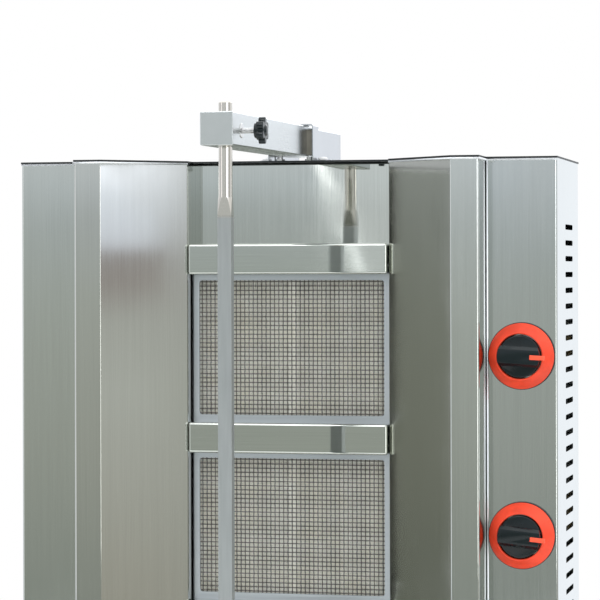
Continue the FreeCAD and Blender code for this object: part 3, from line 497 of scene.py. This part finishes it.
def newTree(name, sizes):
    tree = bpy.data.node_groups.new(name, "GeometryNodeTree")
    kinds = {float: "NodeSocketFloat", int: "NodeSocketInt", bpy.types.Object: "NodeSocketObject",
             bpy.types.Material: "NodeSocketMaterial"}
    for label, kind in sizes.items():
        tree.interface.new_socket(name=label, in_out="INPUT", socket_type=kinds[kind])
    tree.interface.new_socket(name="Geometry", in_out="OUTPUT", socket_type="NodeSocketGeometry")
    return Graph(tree)


def endTree(graph, shape, material):
    real = graph.node("GeometryNodeRealizeInstances", None, {"Geometry": shape})
    coated = graph.node("GeometryNodeSetMaterial", None, {"Geometry": real, "Material": material})
    graph.node("NodeGroupOutput", None, {"Geometry": coated})


# Runs a tree on an empty mesh and keeps what comes out as a plain mesh
def grown(name, graph, values, shift=(0, 0, 0)):
    seed = bpy.data.objects.new(name + "Seed", bpy.data.meshes.new(name + "Seed"))
    scene.collection.objects.link(seed)
    modifier = seed.modifiers.new("grow", "NODES")
    modifier.node_group = graph.tree
    for item in graph.tree.interface.items_tree:
        if item.in_out == "INPUT":
            modifier[item.identifier] = values[item.name]
    depsgraph = bpy.context.evaluated_depsgraph_get()
    mesh = bpy.data.meshes.new_from_object(seed.evaluated_get(depsgraph), depsgraph=depsgraph)
    mesh.name = name
    mesh.transform(Matrix.Translation(shift))
    bpy.data.objects.remove(seed)
    return newObject(name, mesh, None, smooth=False)


print("burners")
burner = {
    "count": 3, "netHalfWidth": 0.0920, "netHalfHeight": 0.0660, "pitch": 0.0042, "wireRadius": 0.00050,
    "samples": 3, "tileGap": 0.0004, "border": 0.0027,
    "holeColumns": 38, "holeRows": 56, "holeRadius": 0.00074, "holeDepth": 0.0110,
}


# A woven net in the XZ plane: wires both ways, each going over and under the ones it crosses
def netTree():
    graph = newTree("wovenNet", {"Half Width": float, "Half Height": float, "Pitch": float,
                                 "Wire Radius": float, "Samples": int, "Wire": bpy.types.Material})
    given = graph.node("NodeGroupInput")
    pitch, radius = given.other("Pitch"), given.other("Wire Radius")
    samples = given.other("Samples")
    index = graph.node("GeometryNodeInputIndex")
    spot = graph.node("ShaderNodeSeparateXYZ", None, {0: graph.node("GeometryNodeInputPosition")})
    profile = graph.node("GeometryNodeCurvePrimitiveCircle", None, {"Resolution": 6, "Radius": radius})
    layers = []
    ways = (("Half Width", "Half Height", "X", "Z", 1.0), ("Half Height", "Half Width", "Z", "X", -1.0))
    for stepReach, runReach, stepAxis, runAxis, side in ways:
        reach, run = given.other(stepReach), given.other(runReach)
        half = (reach / pitch).floor()

        def along(axis, value):
            return graph.node("ShaderNodeCombineXYZ", None, {axis: value})

        line = graph.node("GeometryNodeMeshLine", {"mode": "OFFSET"}, {
            "Count": half * 2 + 1, "Start Location": along(stepAxis, -half * pitch),
            "Offset": along(stepAxis, pitch)})
        bare = graph.node("GeometryNodeCurvePrimitiveLine", None,
                          {"Start": along(runAxis, -run), "End": along(runAxis, run)})
        count = (run * 2 / pitch).floor() * samples
        bare = graph.node("GeometryNodeResampleCurve", {"mode": "COUNT"}, {"Curve": bare, "Count": count})
        wave = (spot.other(runAxis) * math.pi / pitch).cosine() * radius * side
        parity = (index + half) % 2
        for sign, chosen in ((1, parity.below(0.5)), (-1, 1 - parity.below(0.5))):
            bent = graph.node("GeometryNodeSetPosition", None, {
                "Geometry": bare, "Offset": graph.node("ShaderNodeCombineXYZ", None, {"Y": wave * sign})})
            tube = graph.node("GeometryNodeCurveToMesh", None,
                              {"Curve": bent, "Profile Curve": profile, "Fill Caps": True})
            tube = graph.node("GeometryNodeSetShadeSmooth", None, {"Geometry": tube})
            layers.append(graph.node("GeometryNodeInstanceOnPoints", None, {
                "Points": line, "Selection": chosen, "Instance": tube}))
    endTree(graph, graph.node("GeometryNodeJoinGeometry", None, {"Geometry": layers}), given.other("Wire"))
    return graph


# One cell of a tile: a flat square round an eight-sided hole with a floor
def holeCell(width, height, radius, depth):
    sides = 8
    square, rim, foot = [], [], []
    for step in range(sides):
        angle = 2 * math.pi / sides * step
        x, z = math.cos(angle), math.sin(angle)
        reach = 1 / max(abs(x), abs(z))
        square.append((x * reach * width / 2, 0, z * reach * height / 2))
        rim.append((x * radius, 0, z * radius))
        foot.append((x * radius, depth, z * radius))
    faces = []
    for step in range(sides):
        after = (step + 1) % sides
        for ring in (0, sides):
            faces.append((ring + step, ring + after, ring + sides + after, ring + sides + step))
    faces.append(tuple(range(2 * sides, 3 * sides)))
    mesh = bpy.data.meshes.new("holeCell")
    mesh.from_pydata(square + rim + foot, [], faces)
    return bpy.data.objects.new("holeCell", mesh)


# A grid of cells in the XZ plane
def perforationTree():
    graph = newTree("perforation", {"Width": float, "Height": float, "Columns": int, "Rows": int,
                                    "Cell": bpy.types.Object, "Coat": bpy.types.Material})
    given = graph.node("NodeGroupInput")
    columns, rows = given.other("Columns"), given.other("Rows")
    grid = graph.node("GeometryNodeMeshGrid", None, {
        "Size X": given.other("Width") * (columns - 1) / columns,
        "Size Y": given.other("Height") * (rows - 1) / rows, "Vertices X": columns, "Vertices Y": rows})
    grid = graph.node("GeometryNodeTransform", None, {"Geometry": grid, "Rotation": (math.pi / 2, 0, 0)})
    cell = graph.node("GeometryNodeObjectInfo", None, {"Object": given.other("Cell")}, out="Geometry")
    cells = graph.node("GeometryNodeInstanceOnPoints", None, {"Points": grid, "Instance": cell})
    endTree(graph, cells, given.other("Coat"))
    return graph


def boxFaces(low, high, skip=()):
    x, y, z = zip(low, high)
    points = [(x[i], y[j], z[k]) for i in (0, 1) for j in (0, 1) for k in (0, 1)]
    sides = {"-x": (0, 1, 3, 2), "+x": (4, 6, 7, 5), "-y": (0, 4, 5, 1), "+y": (2, 3, 7, 6),
             "-z": (0, 2, 6, 4), "+z": (1, 5, 7, 3)}
    return points, [face for side, face in sides.items() if side not in skip]


# The solid part of a tile: its back and sides, and a plain border round the perforated field
def tileBody(low, high, border, depth):
    inner = [(low.x + border, low.z + border), (high.x - border, high.z - border)]
    points, faces = boxFaces(low, high, skip=("-y",))
    outer = [(low.x, low.z), (high.x, low.z), (high.x, high.z), (low.x, high.z)]
    (x0, z0), (x1, z1) = inner
    ring = [(x0, z0), (x1, z0), (x1, z1), (x0, z1)]
    start = len(points)
    points += [(x, low.y, z) for x, z in outer + ring]
    for side in range(4):
        after = (side + 1) % 4
        faces.append((start + side, start + after, start + 4 + after, start + 4 + side))
    return points, faces


def makeBurners():
    netLow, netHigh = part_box("burner_meshes")
    tileLow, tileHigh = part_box("ceramic_tiles")
    below = burner["count"] - 1
    rise = round((netHigh.z - netLow.z - 2 * burner["netHalfHeight"]) / below, 3)
    top = netHigh.z - (netHigh.z - netLow.z - rise * below) / 2
    tileHeight = tileHigh.z - tileLow.z - rise * below
    net, perforation = netTree(), perforationTree()
    joint = burner["tileGap"] / 2
    columns, rows = burner["holeColumns"], burner["holeRows"]
    field = Vector((tileHigh.x - joint - 2 * burner["border"], 0, tileHeight - 2 * burner["border"]))
    cell = holeCell(field.x / columns, field.z / rows, burner["holeRadius"], burner["holeDepth"])
    scene.collection.objects.link(cell)
    for number in range(burner["count"]):
        height = top - rise * number
        wires = grown(f"wireNet{number + 1}", net, {
            "Half Width": burner["netHalfWidth"], "Half Height": burner["netHalfHeight"],
            "Pitch": burner["pitch"], "Wire Radius": burner["wireRadius"], "Samples": burner["samples"],
            "Wire": finish["meshWire"]}, (0, netLow.y + burner["wireRadius"] * 2, height))
        finishPiece(wires, "casing", "mesh_wire", "burner_meshes")
        shapes = []
        for side in (-1, 1):
            low = Vector((joint if side > 0 else -tileHigh.x, tileLow.y, height - tileHeight / 2))
            high = Vector((tileHigh.x if side > 0 else -joint, tileHigh.y, height + tileHeight / 2))
            points, faces = tileBody(low, high, burner["border"], burner["holeDepth"])
            shapes.append(newObject("tileBody", meshOf("tileBody", points, faces), finish["ceramic"], False))
            middle = (low + high) / 2
            shapes.append(grown("tileField", perforation, {
                "Width": field.x, "Height": field.z, "Columns": columns, "Rows": rows,
                "Cell": cell, "Coat": finish["ceramic"]}, (middle.x, low.y, middle.z)))
        pair = joined(f"tilePair{number + 1}", shapes)
        finishPiece(pair, "casing", "ceramic", "ceramic_tiles")
    bpy.data.objects.remove(cell)


# Several objects' meshes as one, with doubles merged
def joined(name, pieces, smooth=False):
    shape = bmesh.new()
    for piece in pieces:
        shape.from_mesh(piece.data)
    bmesh.ops.remove_doubles(shape, verts=shape.verts, dist=1e-6)
    mesh = bpy.data.meshes.new(name)
    shape.to_mesh(mesh)
    shape.free()
    material = pieces[0].data.materials[0]
    for piece in pieces:
        bpy.data.objects.remove(piece)
    return newObject(name, mesh, material, smooth)


makeBurners()


print("knobs")
knobLook = {"steps": 96, "edge": 0.0007, "markEdge": 0.0003, "starEdge": 0.0004}
bezel = {
    "neck": 0.0265, "wall": 0.003, "mouth": 0.0203, "brim": 0.003, "edge": 0.0005, "lip": 0.0009,
    "seat": 0.0035, "paintedShadeReach": 0.0006, "paintedShadeFrom": 0.0003, "paintedShadeTo": 0.0028,
}


def makeBezel(number):
    low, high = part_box(f"valve_spindle_{number}")
    axisX, axisZ = (low.x + high.x) / 2, (low.z + high.z) / 2
    front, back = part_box("knob_bezels")
    rim, height = (back.x - front.x) / 2, back.y - front.y
    neck, mouth, brim, edge, lip = (bezel[key] for key in ("neck", "mouth", "brim", "edge", "lip"))
    inside = neck - bezel["wall"]
    outline = [(inside, 0), (neck, 0), (neck, brim), (rim - 0.0006, brim)]
    outline += arc((rim - edge, brim + 0.0007), edge, -60, 55)
    outline += arc((mouth + 0.0012, height - lip), lip, 55, 170)
    outline += [(mouth, height - bezel["seat"]), (inside, brim + 0.0015), (inside, 0)]
    place = axisPlace((axisX, back.y, axisZ), (0, -1, 0))
    mesh = turnedMesh(f"bezel{number}", outline, knobLook["steps"], place)
    piece = newObject(f"bezelRing{number}", mesh, finish["bezelRed"])
    finishPiece(piece, "casing", "signal_red", "knob_bezels")
    # a black ring round each bezel's foot, close to the panel: painted shade for the dark reflection of the
    # ring's back in the steel
    reach, under, over = rim + bezel["paintedShadeReach"], bezel["paintedShadeFrom"], bezel["paintedShadeTo"]
    ring = [(neck, under), (reach, under), (reach, over), (neck, over), (neck, under)]
    mesh = turnedMesh(f"gasket{number}", ring, knobLook["steps"], place)
    paintedShadeRing = newObject(f"bezelGasket{number}", mesh, finish["nylonBlack"], smooth=False)
    finishPiece(paintedShadeRing, "casing", "knob_black")


for number in range(1, burner["count"] + 1):
    makeBezel(number)
    grip = softened(f"knobGrip{number}", f"knob_{number}", knobLook["edge"], finish["glossBlack"])
    finishPiece(grip, f"knob_{number}", "knob_black", f"knob_{number}")
    mark = softened(f"knobMark{number}", f"pointer_{number}", knobLook["markEdge"], finish["pointerRed"])
    finishPiece(mark, f"knob_{number}", "signal_red", f"pointer_{number}")
star = softened("clampStar", "clamp_knob", knobLook["starEdge"], finish["glossBlack"])
finishPiece(star, "clamp_grip", "knob_black", "clamp_knob")


print("threads and screws")
stud = {"pitch": 0.0008, "depth": 0.00045, "steps": 20}


# The stud that presses on the spit, threaded along its whole length
def makeStud():
    low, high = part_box("clamp_stud")
    place = axisPlace((low.x, (low.y + high.y) / 2, (low.z + high.z) / 2), (1, 0, 0))
    radius, length = (high.z - low.z) / 2, high.x - low.x
    mesh = threadedMesh("studThread", radius, stud["depth"], stud["pitch"], length, stud["steps"], place)
    piece = newObject("clampStudThread", mesh, finish["studSteel"])
    finishPiece(piece, "clamp_screw", "screw_steel", "clamp_stud")


# Pan screws: the head, the cross in it, and where the screws stand, with x to each side
screw = {
    "radius": 0.0048, "rim": 0.0012, "round": 0.0010, "dome": [(0.0034, 0.0025), (0.0022, 0.0030)],
    "height": 0.0032, "steps": 24, "recess": 0.0021, "slot": 0.00045, "recessFloor": 0.0016,
    "collar": (0.0274, 0.164, 0.821), "rail": (0.0295, 0.261, 0.8215),
    "rearX": 0.251, "rearZs": (0.182, 0.395, 0.605, 0.806), "rearTopXs": (-0.12, 0.0, 0.12), "rearY": 0.268,
    "sideX": 0.259, "sideYs": (-0.246, 0.0, 0.255), "sideZ": 0.158,
}


# A crosshead pan screw with its underside at the origin, looking along +Z
def screwHead():
    radius, curve = screw["radius"], screw["round"]
    outline = [(0.0, 0.0), (radius, 0.0)] + arc((radius - curve, screw["rim"]), curve, 0, 62, 3)
    outline += screw["dome"] + [(0.0, screw["height"])]
    head = newObject("screwHead", turnedMesh("screwHead", outline, screw["steps"], Matrix()), None)
    bars = []
    for turn in (0, math.pi / 2):
        low = (-screw["recess"], -screw["slot"], screw["recessFloor"])
        high = (screw["recess"], screw["slot"], screw["height"] * 3)
        points, faces = boxFaces(low, high)
        mesh = meshOf("recess", points, faces)
        mesh.transform(Matrix.Rotation(turn, 4, "Z"))
        bars.append(newObject("recess", mesh, None, smooth=False))
        cut = head.modifiers.new("cut", "BOOLEAN")
        cut.operation = "DIFFERENCE"
        cut.object = bars[-1]
    depsgraph = bpy.context.evaluated_depsgraph_get()
    head.data = bpy.data.meshes.new_from_object(head.evaluated_get(depsgraph), depsgraph=depsgraph)
    head.modifiers.clear()
    for bar in bars:
        bpy.data.objects.remove(bar)
    return head


# One head on each point of a mesh, all turned the same way
def screwTree():
    graph = newTree("screwHeads", {"Places": bpy.types.Object, "Tilt": float, "Swing": float,
                                   "Head": bpy.types.Object, "Coat": bpy.types.Material})
    given = graph.node("NodeGroupInput")
    spots = graph.node("GeometryNodeObjectInfo", None, {"Object": given.other("Places")}, out="Geometry")
    head = graph.node("GeometryNodeObjectInfo", None, {"Object": given.other("Head")}, out="Geometry")
    turn = graph.node("ShaderNodeCombineXYZ", None, {"X": given.other("Tilt"), "Y": given.other("Swing")})
    heads = graph.node("GeometryNodeInstanceOnPoints", None,
                       {"Points": spots, "Instance": head, "Rotation": turn})
    endTree(graph, heads, given.other("Coat"))
    return graph


def makeScrews():
    quarter = math.pi / 2
    top = [(side * x, y, z) for x, y, z in (screw["collar"], screw["rail"]) for side in (-1, 1)]
    rear = [(side * screw["rearX"], screw["rearY"], z) for side in (-1, 1) for z in screw["rearZs"]]
    rear += [(x, screw["rearY"], screw["rearZs"][-1]) for x in screw["rearTopXs"]]
    rows = [(top, 0.0, 0.0), (rear, -quarter, 0.0)]
    for side in (-1, 1):
        beside = [(side * screw["sideX"], y, screw["sideZ"]) for y in screw["sideYs"]]
        rows.append((beside, 0.0, side * quarter))
    tree, head, shapes = screwTree(), screwHead(), []
    for points, tilt, swing in rows:
        mesh = bpy.data.meshes.new("screwPlaces")
        mesh.from_pydata(points, [], [])
        spots = newObject("screwPlaces", mesh, None, smooth=False)
        shapes.append(grown("screwRow", tree, {
            "Places": spots, "Tilt": tilt, "Swing": swing, "Head": head, "Coat": finish["screwSteel"]}))
        bpy.data.objects.remove(spots)
    bpy.data.objects.remove(head)
    finishPiece(joined("casingScrews", shapes), "casing", "screw_steel", "casing_screws")


makeStud()
makeScrews()


print("hems and seams")
hem = {
    "radius": 0.0010, "below": 0.0011, "steps": 10,
    "path": [(0.2588, 0.1134), (0.1928, 0.1134), (0.1928, 0.0725), (0.1670, 0.0725), (0.0980, 0.1314)],
}
seam = {"at": (0.1940, 0.1134), "radius": 0.00085, "steps": 16, "short": 0.001}
closer = {"thick": 0.0006, "gap": 0.0001, "short": 0.0005}


# A round bar drawn along a path on the level, with mitred corners and flat ends
def sweptMesh(name, path, radius, steps):
    points, faces = [], []
    path = [Vector(spot) for spot in path]
    for number, spot in enumerate(path):
        before = (spot - path[number - 1]).normalized() if number else None
        after = (path[number + 1] - spot).normalized() if number < len(path) - 1 else None
        way = ((before or after) + (after or before)).normalized()
        side = Vector((-way.y, way.x, 0)) / max(0.3, way.dot(before or after))
        for step in range(steps):
            angle = 2 * math.pi * step / steps
            points.append(spot + side * (radius * math.cos(angle)) + Vector((0, 0, radius * math.sin(angle))))
    for ring in range(len(path) - 1):
        for step in range(steps):
            after = (step + 1) % steps
            low, high = ring * steps, (ring + 1) * steps
            faces.append((low + step, low + after, high + after, high + step))
    faces.append(tuple(reversed(range(steps))))
    faces.append(tuple(len(points) - steps + step for step in range(steps)))
    return meshOf(name, points, faces)


# The folded edges of the columns and wings under the roof, on both sides, as round bars in the lighter steel:
# a real fold whose bright line is partly painted highlight
def makeHems():
    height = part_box("roof_panel")[0].z - hem["below"]
    for side, name in ((-1, "left"), (1, "right")):
        path = [(side * x, y, height) for x, y in hem["path"]]
        mesh = sweptMesh(f"{name}Hem", path, hem["radius"], hem["steps"])
        piece = newObject(f"{name}RoofHem", mesh, finish["paintedHighlightSteel"])
        finishPiece(piece, "casing", "casing_steel")


# A bright bar down the seam between the right wing and its column: a painted highlight standing for the light
# line on the column's bend
def makeSeam():
    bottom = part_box("right_column")[0].z + seam["short"]
    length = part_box("fascia_panels")[1].z - seam["short"] - bottom
    outline = [(0.0, 0.0), (seam["radius"], 0.0), (seam["radius"], length), (0.0, length)]
    mesh = turnedMesh("rightSeam", outline, seam["steps"], Matrix.Translation((*seam["at"], bottom)))
    finishPiece(newObject("rightSeamBar", mesh, finish["paintedHighlightSteel"]), "casing", "casing_steel")


# Strips that close the gaps between the wings and the panel above the burners
def makeClosers():
    wing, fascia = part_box("left_wing")[1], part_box("fascia_panels")
    bottom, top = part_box("deflector_strips")[1].z, fascia[1].z - closer["short"]
    near = closer["gap"] - wing.x
    for side, name in ((-1, "left"), (1, "right")):
        ends = sorted((side * near, side * (near + closer["thick"])))
        low, high = (ends[0], wing.y, bottom), (ends[1], fascia[0].y - closer["gap"], top)
        mesh = meshOf(name + "Closer", *boxFaces(low, high))
        piece = newObject(name + "CloserStrip", mesh, finish["fasciaSteel"], smooth=False)
        finishPiece(piece, "casing", "casing_steel")


makeHems()
makeSeam()
makeClosers()


print("camera and light")
cameraLook = {
    "place": (0.5734, -2.2468, 0.7168), "yaw": 13.278, "roll": -0.149,
    "lens": 154.98, "sensor": 36.0, "shiftY": -0.0518,
}


def makeCamera(look):
    camera = bpy.data.objects.new("camera", bpy.data.cameras.new("camera"))
    scene.collection.objects.link(camera)
    camera.matrix_world = (
        Matrix.Translation(look["place"]) @ Matrix.Rotation(math.radians(look["yaw"]), 4, "Z")
        @ Matrix.Rotation(math.pi / 2, 4, "X") @ Matrix.Rotation(math.radians(look["roll"]), 4, "Z"))
    camera.data.lens = look["lens"]
    camera.data.sensor_width = look["sensor"]
    camera.data.shift_y = look["shiftY"]
    camera.data.clip_end = 50
    scene.camera = camera


# Soft boxes: where each stands, what it faces, its size and its power in watts per square metre
lightLook = {
    "topBox": {"at": (0.0, -0.7, 2.7), "to": (0.0, 0.0, 0.6), "size": (2.6, 1.8), "power": 0.3},
    "keyBox": {"at": (-0.6, -2.6, 2.6), "to": (0.0, 0.1, 0.6), "size": (0.8, 0.8), "power": 14.0},
    "fillBox": {"at": (2.1, -2.5, 0.62), "to": (0.0, 0.1, 0.6), "size": (0.7, 1.1), "power": 12.0},
    "leftCard": {"at": (-2.1, -1.7, 0.9), "to": (0.0, 0.1, 0.6), "size": (0.6, 1.7), "power": 2.6},
    "backBox": {"at": (0.0, 2.6, 1.9), "to": (0.0, 0.2, 0.5), "size": (2.4, 1.6), "power": 3.0},
}


def makeLights(look):
    for name, box in look.items():
        light = bpy.data.lights.new(name, "AREA")
        light.shape = "RECTANGLE"
        light.size, light.size_y = box["size"]
        light.energy = box["power"] * light.size * light.size_y
        holder = bpy.data.objects.new(name, light)
        scene.collection.objects.link(holder)
        way = Vector(box["to"]) - Vector(box["at"])
        aim = way.to_track_quat("-Z", "Y").to_matrix().to_4x4()
        holder.matrix_world = Matrix.Translation(box["at"]) @ aim
        holder.visible_camera = False


# The studio that the steel mirrors, as colours at heights above the horizon: grey in front and
# darker towards the floor, a tall window with a bright frame just left of the middle, a white panel
# at the right, pale at the left and white behind. A name ending in "From" holds the stretch of the
# direction's own x, y or z over which that colour comes in.
studioLook = {
    "front": [(-0.16, (0.31, 0.335, 0.30)), (-0.124, (0.34, 0.368, 0.335)), (-0.07, (0.44, 0.465, 0.425)),
              (-0.012, (0.50, 0.535, 0.505)), (0.022, (0.55, 0.595, 0.61)), (0.034, (0.70, 0.755, 0.80)),
              (0.046, (0.78, 0.82, 0.86)), (0.12, (0.74, 0.78, 0.80))],
    "panel": [(-0.16, (0.42, 0.41, 0.36)), (-0.124, (0.46, 0.455, 0.40)), (-0.05, (0.59, 0.615, 0.58)),
              (-0.022, (0.55, 0.57, 0.54)), (-0.006, (0.42, 0.39, 0.375)), (0.0075, (0.40, 0.375, 0.37)),
              (0.0095, (0.90, 0.95, 1.07)), (0.030, (1.10, 1.18, 1.32)), (0.036, (1.65, 1.72, 1.90))],
    "beside": [(-0.16, (0.40, 0.40, 0.36)), (-0.05, (0.52, 0.54, 0.50)), (0.04, (0.56, 0.58, 0.58)),
               (0.12, (0.80, 0.82, 0.84))],
    "left": (0.74, 0.77, 0.82), "back": (1.06, 1.10, 1.15), "over": (1.50, 1.53, 1.55),
    "rightFrom": (0.62, 0.78), "leftFrom": (0.45, 0.75), "backFrom": (0.0, 0.45), "overFrom": (0.12, 0.5),
    "window": (1.00, 1.03, 1.05), "windowShare": 0.42, "windowEdge": -0.2206, "windowLean": 0.287,
    "windowTop": 0.040, "windowFrom": (-0.03, 0.0), "windowEnd": -0.187, "windowSoft": 0.006,
    "paneFrom": (-0.001, 0.002), "frame": (2.3, 2.35, 2.4), "frameHalf": 0.0024,
    "panelEnd": -0.424, "panelSoft": 0.008,
    "lowest": -0.16, "highest": 0.12,
}


def makeWorld(look):
    world = bpy.data.worlds.new("studio")
    world.use_nodes = True
    scene.world = world
    graph = Graph(world.node_tree)
    background = world.node_tree.nodes["Background"]
    way = graph.node("ShaderNodeTexCoord", out="Generated")
    split = graph.node("ShaderNodeSeparateXYZ", None, {0: way})
    x, y, z = split, split.other("Y"), split.other("Z")
    low, high = look["lowest"], look["highest"]
    level = graph.spread(z, low, high, kind="LINEAR")

    def heights(name):
        stops = [((height - low) / (high - low), colour) for height, colour in look[name]]
        return graph.node("ShaderNodeValToRGB", {"stops": stops}, {"Fac": level})

    end, soft = look["panelEnd"], look["panelSoft"]
    beside = graph.mix(graph.spread(y, end - soft, end + soft), heights("panel"), heights("beside"))
    edge = x - look["windowEdge"] - (look["windowTop"] - z) * look["windowLean"]
    far, half = look["windowEnd"], look["frameHalf"]
    pane = graph.spread(edge, *look["paneFrom"]) * graph.spread(x, far, far - look["windowSoft"])
    frame = graph.spread(edge, -half, 0.0) * graph.spread(edge, half, 0.0)
    above = graph.spread(z, *look["windowFrom"])
    front = graph.mix(pane * above * look["windowShare"], heights("front"), look["window"])
    front = graph.mix(frame * above, front, look["frame"])
    colour = graph.mix(graph.spread(x, *look["rightFrom"]), front, beside)
    colour = graph.mix(graph.spread(-x, *look["leftFrom"]), colour, look["left"])
    colour = graph.mix(graph.spread(y, *look["backFrom"]), colour, look["back"])
    colour = graph.mix(graph.spread(z, *look["overFrom"]), colour, look["over"])
    seen = graph.node("ShaderNodeLightPath", out="Is Camera Ray")
    colour = graph.mix(seen, colour, (1.0, 1.0, 1.0))
    graph.tree.links.new(colour.socket, background.inputs["Color"])


floorLook = {
    "radius": 2.4, "steps": 96, "drop": 0.0003, "fadeFrom": 1.0, "fadeTo": 2.328,
    "shade": (0.80, 0.81, 0.79), "seen": (0.93, 0.93, 0.93),
}


# A pale floor whose rim fades into the white surroundings
def makeFloor(look):
    outline = [(0.0, 0.0), (look["radius"], 0.0)]
    mesh = turnedMesh("floor", outline, look["steps"], Matrix.Translation((0, 0, -look["drop"])))
    material, graph, shader = newMaterial("floorPaper")
    tooth = graph.noise((220, 220, 220), detail=2.0)
    seen = graph.node("ShaderNodeLightPath", out="Is Camera Ray")
    paper = graph.mix(tooth, tuple(Vector(look["seen"]) * 0.99), look["seen"])
    base = graph.mix(seen, look["shade"], paper)
    wire(graph, shader, Base_Color=base, Roughness=0.9, Normal=graph.bump(tooth, 0.0002, 0.2))
    spot = graph.node("ShaderNodeSeparateXYZ", None, {0: graph.place()})
    away = (spot * spot + spot.other("Y") * spot.other("Y")) ** 0.5
    fade = graph.spread(away, look["fadeFrom"], look["fadeTo"]) * seen
    glow = graph.node("ShaderNodeEmission", None, {"Color": (1, 1, 1, 1)})
    blended = graph.node("ShaderNodeMixShader", None, {0: fade, 1: Sock(graph, shader.outputs[0]), 2: glow})
    output = material.node_tree.nodes["Material Output"]
    graph.tree.links.new(blended.socket, output.inputs["Surface"])
    floor = newObject("floor", mesh, material)


makeCamera(cameraLook)
makeLights(lightLook)
makeWorld(studioLook)
makeFloor(floorLook)
scene.view_settings.view_transform = "Standard"
